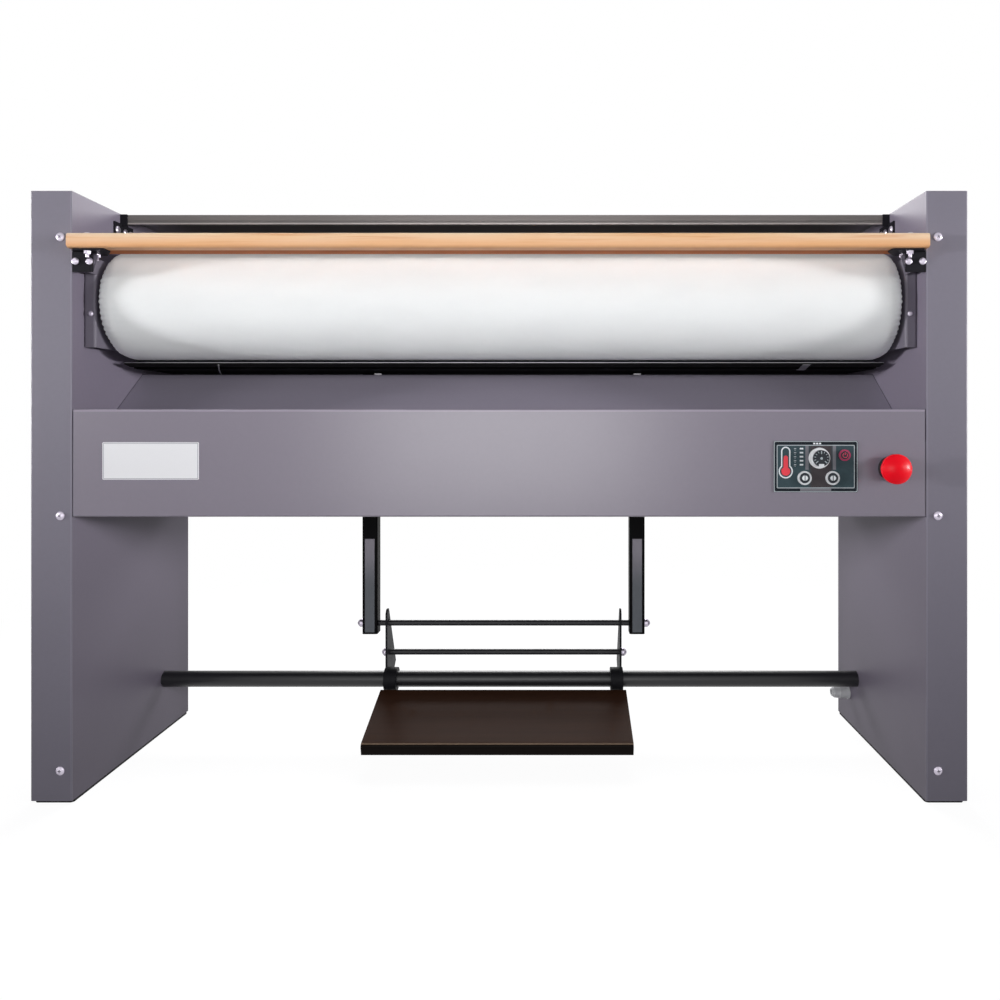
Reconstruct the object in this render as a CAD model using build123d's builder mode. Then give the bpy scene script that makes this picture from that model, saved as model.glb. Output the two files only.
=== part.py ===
from build123d import *
import math
import os

# A free-standing flatwork ironer: a padded roller between two cabinets, a heated trough that a
# foot pedal swings against it, a feeding board in front and a linen chute below.
# X runs to the right, Y to the back and Z up. The origin is on the floor, in the middle.
# A depth is a distance behind the cabinets' front faces, a height one above the floor.

# Whole machine
overall_height = 1050.0
cabinet_width = 72.0
cabinet_depth = 420.0
running_fit = 0.05  # on the radius of a shaft in its bore
slack = 0.3  # between faces that lie beside each other

# Cabinets
cover_sheet = 1.5
cover_bend = 4.0
frame_wall = 2.5
strip_height = 4.0
strip_inset = 3.0
strip_corner = 6.0
cover_screw_foot = 56.0
cover_screw_middle_rise = 2.0  # above the front box's underside
cover_screw_top_drop = 79.0
cover_screw_inset = 20.0  # from the cabinet's inner face
dome_head_radius = 7.5
dome_head_height = 3.5
dome_shank_radius = 3.0
dome_shank_length = 12.0

# Front box under the roller
panel_tall = 185.0
panel_top_drop = 74.5  # below the top of the chute
panel_sheet = 1.5
panel_bend = 2.0
panel_top_return = 14.0
panel_bottom_return = 18.0
box_end_sheet = 2.0
chute_top_depth = 228.0
chute_gap = 4.0  # under the trough's housing
chute_slope = 38.2
chute_hem = 14.0
chute_foot = 14.0
chute_floor_drop = 54.0
clip_width = 14.0
clip_spacing = 520.0
clip_sheet = 0.8
clip_drop = 12.0

# Controls on the front panel
control_inset = 189.4  # from the cabinet's inner face
control_drop = 98.6  # below the panel's top edge
control_width = 144.0
control_tall = 88.0
control_sheet = 1.5
control_corner = 3.0
button_drop = 19.4  # below the control plate's middle
button_offsets = (-20.1, 27.9)
button_radius = 8.7
button_bezel_radius = 11.8
power_offset = 48.4
power_rise = 19.6
power_radius = 6.8
power_bezel_radius = 9.75
bezel_rise = 3.5
button_rise = 4.5
button_thick = 2.2
button_travel = 2.0
button_stem_radius = 4.0
button_stem_length = 10.0
dial_offset = 5.4
dial_lift = 14.6
dial_radius = 18.0
dial_grip_radius = 14.5
dial_rise = 14.0
dial_skirt = 3.5
dial_shaft_radius = 3.0
dial_shaft_depth = 12.0
dial_groove = 2.0
block_size = 22.0
block_depth = 20.0
estop_inset = 62.5
estop_drop = 101.5
estop_reach = 39.0  # the machine's most forward point
estop_radius = 25.25
estop_head_thick = 17.0
estop_neck_radius = 12.0
estop_collar_radius = 20.0
estop_collar_rise = 10.0
estop_thread_radius = 11.0
estop_stem_radius = 8.0
estop_spigot_radius = 6.0
estop_travel = 5.0
estop_block_depth = 26.0
estop_block_size = 30.0

# Roller
roller_length = 1400.0
roller_end_gap = 32.0  # to the cabinet's inner face
roller_radius = 100.0
roller_depth = 121.0
roller_drop = 180.3  # below the cabinets' tops
padding_thick = 10.0
padding_wrap = 3.0
padding_hem = 10.0
padding_overhang = 6.0  # past the working length, at each end
padding_round = 14.0
drum_wall = 4.0
disc_thick = 6.0
disc_hub_radius = 28.0
disc_hub_length = 24.0
shaft_radius = 15.0
shaft_wall_hole = 24.0

# Bearing brackets beside the roller
bracket_sheet = 3.0
bracket_web_gap = 5.0  # beside the padding's end
bracket_front = 33.0
bracket_drop = 84.7
bracket_rise = 71.3
bracket_foot = 26.0
bracket_tab_front = 4.0
bracket_tab_reach = 42.0
bracket_tab_tall = 28.0
bracket_tab_slant = 7.0
bracket_tab_gap = 3.0  # to the cabinet's inner face
bracket_bolt_rises = (-59.7, 45.3)
bearing_flange = 8.0
bearing_spacing = 70.0
bearing_flange_radius = 27.0
bearing_ear_width = 34.0
bearing_boss_radius = 26.0
bearing_boss_gap = 2.0
stop_screw_gap = 7.5  # from the bracket's web
stop_screw_drop = 25.7
bolt_radius = 4.0
bolt_head_radius = 7.5
bolt_head_height = 5.0

# Drive: chain and sprockets in the left cabinet
chain_pitch = 12.7
chain_links = 72
chain_roller_radius = 4.25
chain_plate_height = 10.0
chain_plate_sheet = 1.5
chain_inner_width = 8.0
chain_plane_gap = 18.0  # from the frame's wall to the chain's middle
large_teeth = 38
small_teeth = 15
sprocket_width = 7.0
tooth_clearance = 0.15
tooth_rise = 2.6
tooth_mouth_radius = 5.2
tooth_mouth_rise = 2.8
sprocket_hub_radius = 24.0
sprocket_hub_length = 22.0
small_hub_radius = 16.0
motor_back = 15.0  # behind the roller's axis
motor_shaft_radius = 10.0
gearbox_radius = 55.0
gearbox_length = 80.0
motor_radius = 48.0
motor_length = 210.0
motor_rib_rise = 4.0
motor_rib_width = 6.0
motor_ribs = 8
motor_rib_length = 147.0
motor_bevel = 8.0

# Heated trough and its housing, which hang from the pivot shaft
pivot_depth = 315.0
pivot_rise = 130.3  # above the roller's axis
pivot_shaft_radius = 10.0
pivot_boss_radius = 22.0
pivot_boss_length = 12.0
bush_radius = 14.0
bush_flange_radius = 20.0
bush_flange = 3.0
trough_opening = 1.31  # degrees that the trough hangs back from the roller
trough_clearance = 0.6  # to the padding once the pedal is down
trough_wall = 8.0
trough_overhang = 8.0
trough_start = -4.0  # degrees from straight down, towards the back
trough_end = 112.0
lip_thick = 3.0
lip_taper = 12.0
lead_in_length = 24.0
lead_in_back = 16.8
lead_in_angle = 25.0
chest_drop = 115.2
chest_rise = 61.3
chest_sheet = 1.5
chest_plate = 5.0
chest_back_plate = 8.0
chest_bend = 5.0
chest_foot = 2.0  # behind the trough's foot
chest_lip_gap = 0.9
hanger_radius = 20.0
hanger_root_rise = 35.3
hanger_root_inset = 24.0
heater_radius = 4.25
heater_angles = (22.0, 41.0, 60.0, 79.0, 98.0)
heater_end_gap = 6.0
strap_inset = 143.0
strap_width = 14.0
strap_sheet = 1.0
strap_foot = 12.0
strap_bend = 3.0
stay_inset = 175.4
stay_spread = 0.4  # outward for each mm backward
stay_radius = 1.2
stay_back_gap = 14.0

# Arms, link rod and pedal
pedal_offset = -13.5
arm_spacing = 561.0
arm_size = 32.0
arm_wall = 2.5
arm_corner = 4.0
arm_bottom = 209.0
arm_top_gap = 6.0
arm_bolt_rises = (-69.7, 25.3)
arm_bolt_radius = 5.0
link_rise = 20.0  # above the arms' lower ends
link_radius = 6.0
link_slot_gap = 0.5
link_slot_travel = 3.0
rod_thread = 9.0
cap_nut_radius = 8.5
cap_nut_length = 13.0
tube_height = 110.5
tube_radius = 16.5
tube_wall = 3.0
tube_plug = 20.0
pedal_plate_spacing = 492.0
pedal_plate_sheet = 4.0
pedal_plate_tip_rise = 30.0
collar_radius = 24.0
collar_width = 26.0
collar_outset = 5.0  # past the plate's middle
pedal_plate_front = 14.0
pedal_plate_tip_chamfer = 8.0
pedal_plate_tip_back = 3.0
pedal_plate_heel = (74.0, 18.0)  # behind and above the tube's axis
pedal_plate_toe = (30.0, -16.0)
pedal_plate_root = (18.0, -20.0)
tie_rod_radius = 6.0
tie_rod_rise = 53.5  # above the tube's axis
tie_rod_back = 12.0
board_width = 514.0
board_length = 175.7
board_thick = 22.0
board_slope = 15.5
board_rear_gap = 18.0
board_round = 8.0
leg_length = 100.0
leg_flange_start = 25.0
leg_heel = 5.0
leg_tall = 12.0
leg_end_tall = 8.4
leg_flange = 18.0

# Guard board in front of the roller
guard_end_gap = 5.0
guard_front = -25.0
guard_back = 35.0
guard_rise = 78.3
guard_thick = 25.0
guard_round = 6.0
shelf_sheet = 3.0
shelf_inner_inset = 64.0
shelf_end_gap = 1.0
shelf_front = -17.0
shelf_back = 30.0
shelf_corner = (10.0, 17.0)  # cut off beside the cabinet's front
shelf_inner_corner = (20.0, 27.0)  # cut off in front of the roller
guard_leg_inset = 35.0
guard_leg_tall = 37.0
guard_leg_gap = 2.0
guard_screw_insets = (31.0, 7.0)
guard_screw_drop = 19.0
guard_screw_play = 0.6
guard_head_gap = 0.5
guard_bolt_insets = ((32.0, -9.5), (32.0, 18.0))
guard_washer = 1.5
guard_nut_height = 5.5
guard_thread_tail = 5.5

# Hood, rear panel and cable gland
hood_front_back = 29.0  # behind the roller's axis
hood_sheet = 1.5
hood_drop = 18.0
hood_top_gap = 1.0
hood_back_gap = 5.0
hood_return = 20.0
hood_lip = 6.0
hood_groove = 2.0
hood_groove_rise = 4.0
hood_groove_width = 2.4
rear_screw_drop = 12.0
hood_bend = 0.85
hood_bracket_inset = 13.0
hood_bracket_tall = 43.0
hood_tongue_overlap = 5.0
hood_bracket_reach = (-26.0, 37.0)  # from the hood's front edge
hood_screw_offsets = (-16.0, 10.0, 28.0)
hood_screw_drop = 33.0
rear_bottom_rise = 9.0
rear_return = 15.0
slot_length = 60.0
slot_width = 6.0
slot_end_gap = 72.0
slot_count = 12
slot_row_drops = (145.0, 120.0)
gland_depth = 360.0
gland_height = 67.0
gland_radius = 14.5
gland_reach = 37.0
gland_bore = 5.0
gland_thread_radius = 9.0

# Places that follow from the sizes
front_y = (estop_reach - cabinet_depth) / 2
roller_half = roller_length / 2
roller_height = overall_height - roller_drop
inner_x = roller_half + roller_end_gap
frame_reach = cabinet_width - cover_sheet - cover_bend

drum_half = roller_half - padding_wrap
padding_half = roller_half + padding_overhang
drum_radius = roller_radius - padding_thick
bracket_web_x = padding_half + bracket_web_gap
bracket_tab_x = inner_x - bracket_tab_reach
bracket_bottom = roller_height - bracket_drop
bracket_top = roller_height + bracket_rise
bracket_tab_end_x = inner_x - bracket_tab_gap
bracket_tab_bottom = bracket_top - bracket_tab_tall
bracket_bolt_heights = [roller_height + rise for rise in bracket_bolt_rises]
stop_screw_x = bracket_web_x + stop_screw_gap
stop_screw_height = roller_height - stop_screw_drop

pivot_height = roller_height + pivot_rise
chest_bottom = roller_height - chest_drop
chest_top = roller_height + chest_rise
chest_back = pivot_depth - arm_size / 2
hanger_root_height = roller_height + hanger_root_rise
hanger_root_depth = chest_back - hanger_root_inset
trough_half_length = roller_half + trough_overhang
trough_radius = roller_radius + trough_clearance
trough_outer = trough_radius + trough_wall
opening = math.radians(trough_opening)
reach_y = roller_depth - pivot_depth
reach_z = roller_height - pivot_height
trough_depth = pivot_depth + reach_y * math.cos(opening) - reach_z * math.sin(opening)
trough_height = pivot_height + reach_y * math.sin(opening) + reach_z * math.cos(opening)
strap_x = trough_half_length - strap_inset
stay_back = chest_back - stay_back_gap
stay_x = stay_inset - trough_half_length

arm_top = chest_top - arm_top_gap
arm_bolt_heights = [roller_height + rise for rise in arm_bolt_rises]
link_height = arm_bottom + link_rise
tube_depth = pivot_depth
tie_rod_height = tube_height + tie_rod_rise
pedal_plate_tip = link_height + pedal_plate_tip_rise - tube_height
board_rear_depth = tube_depth - board_rear_gap
board_rear_height = tube_height - tube_radius

chute_top_height = chest_bottom - chute_gap
panel_top = chute_top_height - panel_top_drop
box_bottom = panel_top - panel_tall
chute_floor_height = panel_top - chute_floor_drop
box_end_x = inner_x - box_end_sheet
cover_screw_heights = (
    cover_screw_foot,
    box_bottom + cover_screw_middle_rise,
    overall_height - cover_screw_top_drop,
)
control_x = inner_x - control_inset
control_height = panel_top - control_drop
button_places = [control_x + offset for offset in button_offsets]
button_height = control_height - button_drop
power_x = control_x + power_offset
power_height = control_height + power_rise
dial_x = control_x + dial_offset
dial_height = control_height + dial_lift
estop_x = inner_x - estop_inset
estop_height = panel_top - estop_drop

guard_half_length = inner_x - guard_end_gap
guard_bottom = roller_height + guard_rise
guard_top = guard_bottom + guard_thick
shelf_inner_x = inner_x - shelf_inner_inset
shelf_outer_x = inner_x - shelf_end_gap
guard_leg_inner_x = inner_x - guard_leg_inset
guard_leg_bottom = guard_bottom - guard_leg_tall
guard_screw_places = [inner_x - inset for inset in guard_screw_insets]
guard_screw_height = guard_bottom - guard_screw_drop
guard_bolt_places = [(inner_x - inset, depth) for inset, depth in guard_bolt_insets]

hood_top = overall_height - hood_top_gap
hood_front = roller_depth + hood_front_back
hood_back = cabinet_depth - hood_back_gap
hood_bracket_bottom = hood_top - hood_bracket_tall
hood_tongue_bottom = hood_top - hood_drop - hood_tongue_overlap
hood_bracket_leg = [hood_front + reach for reach in hood_bracket_reach]
hood_screw_places = [hood_front + offset for offset in hood_screw_offsets]
hood_screw_height = hood_top - hood_screw_drop
rear_bottom = box_bottom + rear_bottom_rise
slot_rows = [overall_height - drop for drop in slot_row_drops]
slot_spacing = 2 * (inner_x - slot_end_gap) / slot_count

motor_depth = roller_depth + motor_back
chain_x = -(inner_x + frame_wall + chain_plane_gap)
large_pitch_radius = large_teeth * chain_pitch / (2 * math.pi)
small_pitch_radius = small_teeth * chain_pitch / (2 * math.pi)


def at(depth, height):
    """A point of a side view, from its depth behind the front faces and its height."""
    return (front_y + depth, height)


def facing_front(depth):
    """The upright plane at a depth, seen from the front."""
    return Plane.XZ.offset(-(front_y + depth))


def sized_chain_centres():
    """The sprockets' distance at which the chain has exactly its number of links."""
    low = large_pitch_radius + small_pitch_radius
    high = chain_links * chain_pitch / 2
    for _ in range(60):
        middle = (low + high) / 2
        low, high = (middle, high) if chain_length(middle) < chain_links * chain_pitch else (low, middle)
    return middle


def chain_length(centres):
    wrap = math.asin((large_pitch_radius - small_pitch_radius) / centres)
    straight = 2 * centres * math.cos(wrap)
    round_large = large_pitch_radius * (math.pi + 2 * wrap)
    return straight + round_large + small_pitch_radius * (math.pi - 2 * wrap)


chain_centres = sized_chain_centres()
motor_height = roller_height - math.sqrt(chain_centres**2 - (motor_depth - roller_depth) ** 2)


def write(piece, name):
    """Labels a finished piece and writes it to its own file."""
    piece.part.label = name
    export_step(piece.part, f"parts/{name}.step")


def write_pair(right, name):
    """Writes a right-hand piece and its mirror image as one node of two solids."""
    with BuildPart() as pair:
        add(right.part)
        mirror(right.part, about=Plane.YZ)
    write(pair, name)


def folded(points, bend, sheet, start_x, end_x):
    """A sheet bent along a line of side-view points and running from one X to another."""
    with BuildPart() as piece:
        with BuildSketch(Plane.YZ.offset(start_x)):
            with BuildLine():
                FilletPolyline(*points, radius=bend)
            trace(line_width=sheet)
        extrude(amount=end_x - start_x)
    return piece


def side_plate(points, start_x, thickness):
    """A flat plate with a side-view outline, standing at start_x."""
    with BuildPart() as piece:
        with BuildSketch(Plane.YZ.offset(start_x)):
            with BuildLine():
                Polyline(*points, close=True)
            make_face()
        extrude(amount=thickness)
    return piece


def turned(steps, origin, direction, bore=0.0):
    """A turned piece. Its steps are (distance along the axis, radius) from end to end."""
    across = (0, 0, 1) if direction[2] == 0 else (1, 0, 0)
    with BuildPart() as piece:
        with BuildSketch(Plane(origin=origin, x_dir=direction, z_dir=across)):
            with BuildLine():
                Polyline((steps[0][0], bore), *steps, (steps[-1][0], bore), close=True)
            make_face()
        revolve(axis=Axis(origin, direction))
    return piece


def cap_nut(origin, direction, thread_radius):
    """A domed nut whose blind bore takes the end of a rod."""
    flat = cap_nut_length * 0.55
    depth = rod_thread
    with BuildPart() as piece:
        with BuildSketch(Plane(origin=origin, x_dir=direction, z_dir=(0, 0, 1))):
            with BuildLine():
                Polyline(
                    (0, thread_radius + running_fit),
                    (0, cap_nut_radius),
                    (flat, cap_nut_radius),
                    (cap_nut_length * 0.85, cap_nut_radius * 0.6),
                    (cap_nut_length, cap_nut_radius * 0.2),
                    (cap_nut_length, 0),
                    (depth + slack, 0),
                    (depth + slack, thread_radius + running_fit),
                    close=True,
                )
            make_face()
        revolve(axis=Axis(origin, direction))
    return piece


def dome_screw(origin, direction):
    """A dome-headed sheet screw: the direction points out of its head."""
    r, h = dome_head_radius, dome_head_height
    steps = [
        (-dome_shank_length, dome_shank_radius),
        (0, dome_shank_radius),
        (0, r),
        (h * 0.35, r * 0.97),
        (h * 0.75, r * 0.72),
        (h, r * 0.35),
    ]
    return turned(steps, origin, direction)


def hex_bolt(origin, direction, radius, length, head_radius, head_height):
    """A hexagon bolt: its shank runs from the origin against the direction of its head."""
    with BuildPart() as piece:
        with BuildSketch(Plane(origin=origin, z_dir=direction)):
            RegularPolygon(head_radius, 6)
        extrude(amount=head_height)
        with BuildSketch(Plane(origin=origin, z_dir=direction)):
            Circle(radius)
        extrude(amount=-length)
    return piece


def group(pieces):
    """Separate solids that share one node."""
    with BuildPart() as node:
        for piece in pieces:
            add(piece.part)
    return node


# Cabinets -----------------------------------------------------------------------------


def side_frame(with_motor):
    """The right cabinet's steel frame: a wall with flanges all round, open outwards."""
    with BuildPart() as frame:
        with BuildSketch(Plane.XY.offset(strip_height)):
            with Locations((inner_x, front_y + cover_sheet)):
                Rectangle(frame_reach, cabinet_depth - 2 * cover_sheet, align=(Align.MIN, Align.MIN))
        extrude(amount=overall_height - cover_sheet - strip_height)
        offset(amount=-frame_wall, openings=frame.faces().sort_by(Axis.X)[-1])
        with BuildSketch(Plane.YZ.offset(inner_x)):
            with Locations(at(roller_depth, roller_height)):
                Circle(shaft_wall_hole)
            with Locations(at(pivot_depth, pivot_height)):
                Circle(bush_radius + running_fit)
            with Locations(*[at(*place) for place in bracket_bolt_places()]):
                Circle(bolt_radius + running_fit)
            with Locations(*[at(depth, hood_screw_height) for depth in hood_screw_places]):
                Circle(dome_shank_radius + running_fit)
            with Locations(at(tube_depth, tube_height)):
                Circle(bolt_radius + running_fit)
            if with_motor:
                with Locations(at(motor_depth, motor_height)):
                    Circle(small_hub_radius + slack)
            else:
                with Locations(at(gland_depth, gland_height)):
                    Circle(gland_thread_radius + running_fit)
        extrude(amount=frame_wall, mode=Mode.SUBTRACT)
        with BuildSketch(facing_front(cover_sheet + frame_wall)):
            with Locations(*[(inner_x + cover_screw_inset, z) for z in cover_screw_heights]):
                Circle(dome_shank_radius + running_fit)
        extrude(amount=frame_wall, mode=Mode.SUBTRACT)
    return frame


def bracket_bolt_places():
    """Depth and height of the four bolts that hold a bearing bracket to a cabinet."""
    middle = bracket_foot / 2 + bracket_sheet
    back = 2 * roller_depth - bracket_front
    depths = (bracket_front + middle, back - middle)
    return [(depth, height) for depth in depths for height in bracket_bolt_heights]


def side_cover():
    """The right cabinet's wrap-round cover: front, outer side, back and top in one sheet."""
    with BuildPart() as cover:
        with BuildSketch(Plane.XY.offset(strip_height)):
            with Locations((inner_x, front_y)):
                Rectangle(cabinet_width, cabinet_depth, align=(Align.MIN, Align.MIN))
        extrude(amount=overall_height - strip_height)
        fillet(cover.edges().filter_by(Axis.Z).group_by(Axis.X)[-1], cover_bend)
        inner_side = cover.faces().sort_by(Axis.X)[0]
        underside = cover.faces().sort_by(Axis.Z)[0]
        offset(amount=-cover_sheet, openings=[inner_side, underside])
        with BuildSketch(facing_front(cover_sheet)):
            with Locations(*[(inner_x + cover_screw_inset, z) for z in cover_screw_heights]):
                Circle(dome_shank_radius + running_fit)
        extrude(amount=cover_sheet, mode=Mode.SUBTRACT)
    return cover


def mirrored(right):
    with BuildPart() as left:
        mirror(right.part, about=Plane.YZ)
    return left


os.makedirs("parts", exist_ok=True)

right_side_frame = side_frame(with_motor=False)
write(right_side_frame, "right_side_frame")
left_side_frame = mirrored(side_frame(with_motor=True))
write(left_side_frame, "left_side_frame")
right_side_cover = side_cover()
write(right_side_cover, "right_side_cover")
left_side_cover = mirrored(right_side_cover)
write(left_side_cover, "left_side_cover")

with BuildPart() as base_strip:
    with BuildSketch():
        with Locations((inner_x + frame_reach / 2, front_y + cabinet_depth / 2)):
            RectangleRounded(frame_reach, cabinet_depth - 2 * strip_inset, strip_corner)
    extrude(amount=strip_height)
write_pair(base_strip, "base_strips")

# Front box ----------------------------------------------------------------------------

half_sheet = panel_sheet / 2
panel_shell = folded(
    [
        at(panel_bottom_return, box_bottom + half_sheet),
        at(half_sheet, box_bottom + half_sheet),
        at(half_sheet, panel_top - half_sheet),
        at(panel_top_return, panel_top - half_sheet),
        at(panel_top_return, panel_top - panel_top_return),
    ],
    panel_bend,
    panel_sheet,
    -box_end_x,
    box_end_x,
)
button_sites = [(x, button_height) for x in button_places] + [(power_x, power_height)]


def control_holes(depth):
    """Outlines of the holes for the buttons' stems and the dial's shaft, at a depth."""
    with BuildSketch(facing_front(depth)) as holes:
        with Locations(*button_sites):
            Circle(button_stem_radius + slack)
        with Locations((dial_x, dial_height)):
            Circle(dial_shaft_radius + running_fit)
    return holes.sketch


with BuildPart() as front_panel:
    add(panel_shell.part)
    extrude(control_holes(panel_sheet), amount=panel_sheet, mode=Mode.SUBTRACT)
    with BuildSketch(facing_front(panel_sheet)):
        with Locations((estop_x, estop_height)):
            Circle(estop_thread_radius + running_fit)
    extrude(amount=panel_sheet, mode=Mode.SUBTRACT)
write(front_panel, "front_panel")

rise = math.tan(math.radians(chute_slope))
chute_line_top = chute_top_height - half_sheet
chute_foot_depth = 1.5 * panel_sheet
chute_knee_depth = chute_top_depth - half_sheet - (chute_line_top - chute_floor_height) / rise
linen_chute = folded(
    [
        at(chute_foot_depth, chute_floor_height - chute_foot),
        at(chute_foot_depth, chute_floor_height),
        at(chute_knee_depth, chute_floor_height),
        at(chute_top_depth - half_sheet, chute_line_top),
        at(chute_top_depth - half_sheet, chute_line_top - chute_hem),
    ],
    panel_bend,
    panel_sheet,
    -box_end_x,
    box_end_x,
)
write(linen_chute, "linen_chute")

tray_back = chute_top_depth - panel_sheet
tray_top = chute_line_top - panel_sheet - 2 * panel_bend
box_tray = folded(
    [
        at(2 * panel_sheet + panel_bend, box_bottom + 1.5 * panel_sheet),
        at(tray_back - half_sheet, box_bottom + 1.5 * panel_sheet),
        at(tray_back - half_sheet, tray_top),
    ],
    panel_bend,
    panel_sheet,
    -box_end_x,
    box_end_x,
)
write(box_tray, "box_tray")

box_end_blank = side_plate(
    [
        at(panel_sheet, box_bottom),
        at(panel_sheet, chute_floor_height),
        at(chute_knee_depth, chute_floor_height),
        at(tray_back, chute_floor_height + (tray_back - chute_knee_depth) * rise),
        at(tray_back, box_bottom),
    ],
    box_end_x,
    box_end_sheet,
)
with BuildPart() as box_end:
    add(box_end_blank.part)
    with BuildSketch(Plane.YZ.offset(box_end_x)):
        with Locations(at(motor_depth, motor_height)):
            Circle(small_hub_radius + slack)
    extrude(amount=box_end_sheet, mode=Mode.SUBTRACT)
write_pair(box_end, "box_ends")

chute_clip = folded(
    [
        at(chute_top_depth + clip_sheet / 2, chute_top_height - clip_drop),
        at(chute_top_depth + clip_sheet / 2, chute_top_height + clip_sheet / 2),
        at(chute_top_depth - 3 * clip_sheet, chute_top_height + clip_sheet / 2),
    ],
    clip_sheet,
    clip_sheet,
    clip_spacing / 2 - clip_width / 2,
    clip_spacing / 2 + clip_width / 2,
)
write_pair(chute_clip, "chute_clips")

# Controls -----------------------------------------------------------------------------

with BuildPart() as control_plate:
    with BuildSketch(facing_front(0)):
        with Locations((control_x, control_height)):
            RectangleRounded(control_width, control_tall, control_corner)
    extrude(amount=control_sheet)
    extrude(control_holes(0), amount=control_sheet, mode=Mode.SUBTRACT)
write(control_plate, "control_plate")

with BuildPart() as button_bezels:
    with BuildSketch(facing_front(-control_sheet)):
        with Locations(*button_sites[:2]):
            Circle(button_bezel_radius)
            Circle(button_radius + slack, mode=Mode.SUBTRACT)
        with Locations(button_sites[2]):
            Circle(power_bezel_radius)
            Circle(power_radius + slack, mode=Mode.SUBTRACT)
    extrude(amount=bezel_rise)
write(button_bezels, "button_bezels")


def button(x, height, radius):
    """A push button: its cap in front of the plate and its stem down to the switch block."""
    front = control_sheet + button_rise
    steps = [
        (-button_stem_length, button_stem_radius),
        (front - button_thick, button_stem_radius),
        (front - button_thick, radius),
        (front - button_thick / 2, radius),
        (front, radius * 0.85),
    ]
    return turned(steps, (x, front_y, height), (0, -1, 0))


write(button(button_places[0], button_height, button_radius), "left_button")
write(button(button_places[1], button_height, button_radius), "right_button")
write(button(power_x, power_height, power_radius), "power_button")

dial_back = control_sheet + slack
knob_blank = turned(
    [
        (-dial_shaft_depth, dial_shaft_radius),
        (dial_back, dial_shaft_radius),
        (dial_back, dial_radius),
        (dial_back + dial_skirt, dial_radius * 0.97),
        (dial_back + dial_skirt, dial_grip_radius),
        (dial_rise, dial_grip_radius * 0.95),
    ],
    (dial_x, front_y, dial_height),
    (0, -1, 0),
)
with BuildPart() as temperature_knob:
    add(knob_blank.part)
    with BuildSketch(facing_front(-dial_rise)):
        with Locations((dial_x, dial_height)):
            Rectangle(dial_groove, dial_grip_radius, align=(Align.CENTER, Align.MIN))
    extrude(amount=-dial_groove, mode=Mode.SUBTRACT)
write(temperature_knob, "temperature_knob")


def contact_block(x, height, size, start, depth, bore, bore_depth):
    """A switch block behind the panel, bored for the stem that works it."""
    with BuildPart() as block:
        with BuildSketch(facing_front(start)):
            with Locations((x, height)):
                Rectangle(size, size)
        extrude(amount=-depth)
        with BuildSketch(facing_front(start)):
            with Locations((x, height)):
                Circle(bore)
        extrude(amount=-bore_depth, mode=Mode.SUBTRACT)
    return block


stem_space = button_stem_length - panel_sheet + button_travel + slack
dial_space = dial_shaft_depth - panel_sheet + slack
blocks = [
    contact_block(x, z, block_size, panel_sheet, block_depth, button_stem_radius + slack, stem_space)
    for x, z in button_sites
]
blocks[2:] = [
    contact_block(power_x, power_height, 2 * power_radius + 2, panel_sheet, block_depth,
                  button_stem_radius + slack, stem_space)
]
blocks.append(
    contact_block(dial_x, dial_height, block_size, panel_sheet, block_depth,
                  dial_shaft_radius + running_fit, dial_space)
)
estop_block_start = 20.0
estop_stem_end = estop_block_start + 2.0
blocks.append(
    contact_block(estop_x, estop_height, estop_block_size, estop_block_start, estop_block_depth,
                  estop_stem_radius + slack, estop_travel + 2.0 + slack)
)
write(group(blocks), "switch_blocks")

estop_nut_radius = 16.0
estop_nut_height = 4.5
estop_collar = turned(
    [
        (-estop_block_start, estop_thread_radius),
        (-panel_sheet - estop_nut_height, estop_thread_radius),
        (-panel_sheet - estop_nut_height, estop_nut_radius),
        (-panel_sheet, estop_nut_radius),
        (-panel_sheet, estop_thread_radius),
        (0, estop_thread_radius),
        (0, estop_collar_radius),
        (estop_collar_rise * 0.8, estop_collar_radius),
        (estop_collar_rise, estop_collar_radius * 0.85),
    ],
    (estop_x, front_y, estop_height),
    (0, -1, 0),
    bore=estop_stem_radius + running_fit,
)
write(estop_collar, "estop_collar")

estop_neck_back = estop_collar_rise + estop_travel + slack
estop_spigot_end = estop_reach - estop_head_thick + estop_head_thick / 2
estop_stem = turned(
    [
        (-estop_stem_end, estop_stem_radius),
        (estop_neck_back - slack / 2, estop_stem_radius),
        (estop_neck_back - slack / 2, estop_spigot_radius),
        (estop_spigot_end, estop_spigot_radius),
    ],
    (estop_x, front_y, estop_height),
    (0, -1, 0),
)
write(estop_stem, "estop_stem")

with BuildPart() as estop_head:
    with BuildSketch(Plane(origin=(estop_x, front_y, estop_height), x_dir=(0, -1, 0), z_dir=(0, 0, 1))):
        with BuildLine():
            under = estop_reach - estop_head_thick
            rim = under + estop_head_thick * 0.45
            Polyline(
                (rim, estop_radius),
                (under + 1.5, estop_radius),
                (under, estop_radius - 1.5),
                (under, estop_neck_radius),
                (estop_neck_back, estop_neck_radius),
                (estop_neck_back, estop_spigot_radius + running_fit),
                (estop_spigot_end + slack, estop_spigot_radius + running_fit),
                (estop_spigot_end + slack, 0),
                (estop_reach, 0),
            )
            TangentArc((estop_reach, 0), (rim, estop_radius), tangent=(0, 1))
        make_face()
    revolve(axis=Axis((estop_x, front_y, estop_height), (0, -1, 0)))
write(estop_head, "estop_head")

electrics_width = 170.0
electrics_depth = 100.0
electrics_tall = 90.0
electrics_x = 470.0
electrics_front = 45.0
floor_top = box_bottom + 2 * panel_sheet
with BuildPart() as electrics_box:
    with BuildSketch(Plane.XY.offset(floor_top)):
        with Locations((electrics_x, front_y + electrics_front)):
            Rectangle(electrics_width, electrics_depth, align=(Align.CENTER, Align.MIN))
    extrude(amount=electrics_tall)
    fillet(electrics_box.edges().filter_by(Axis.Z), 4)
write(electrics_box, "electrics_box")

# Roller -------------------------------------------------------------------------------

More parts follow.
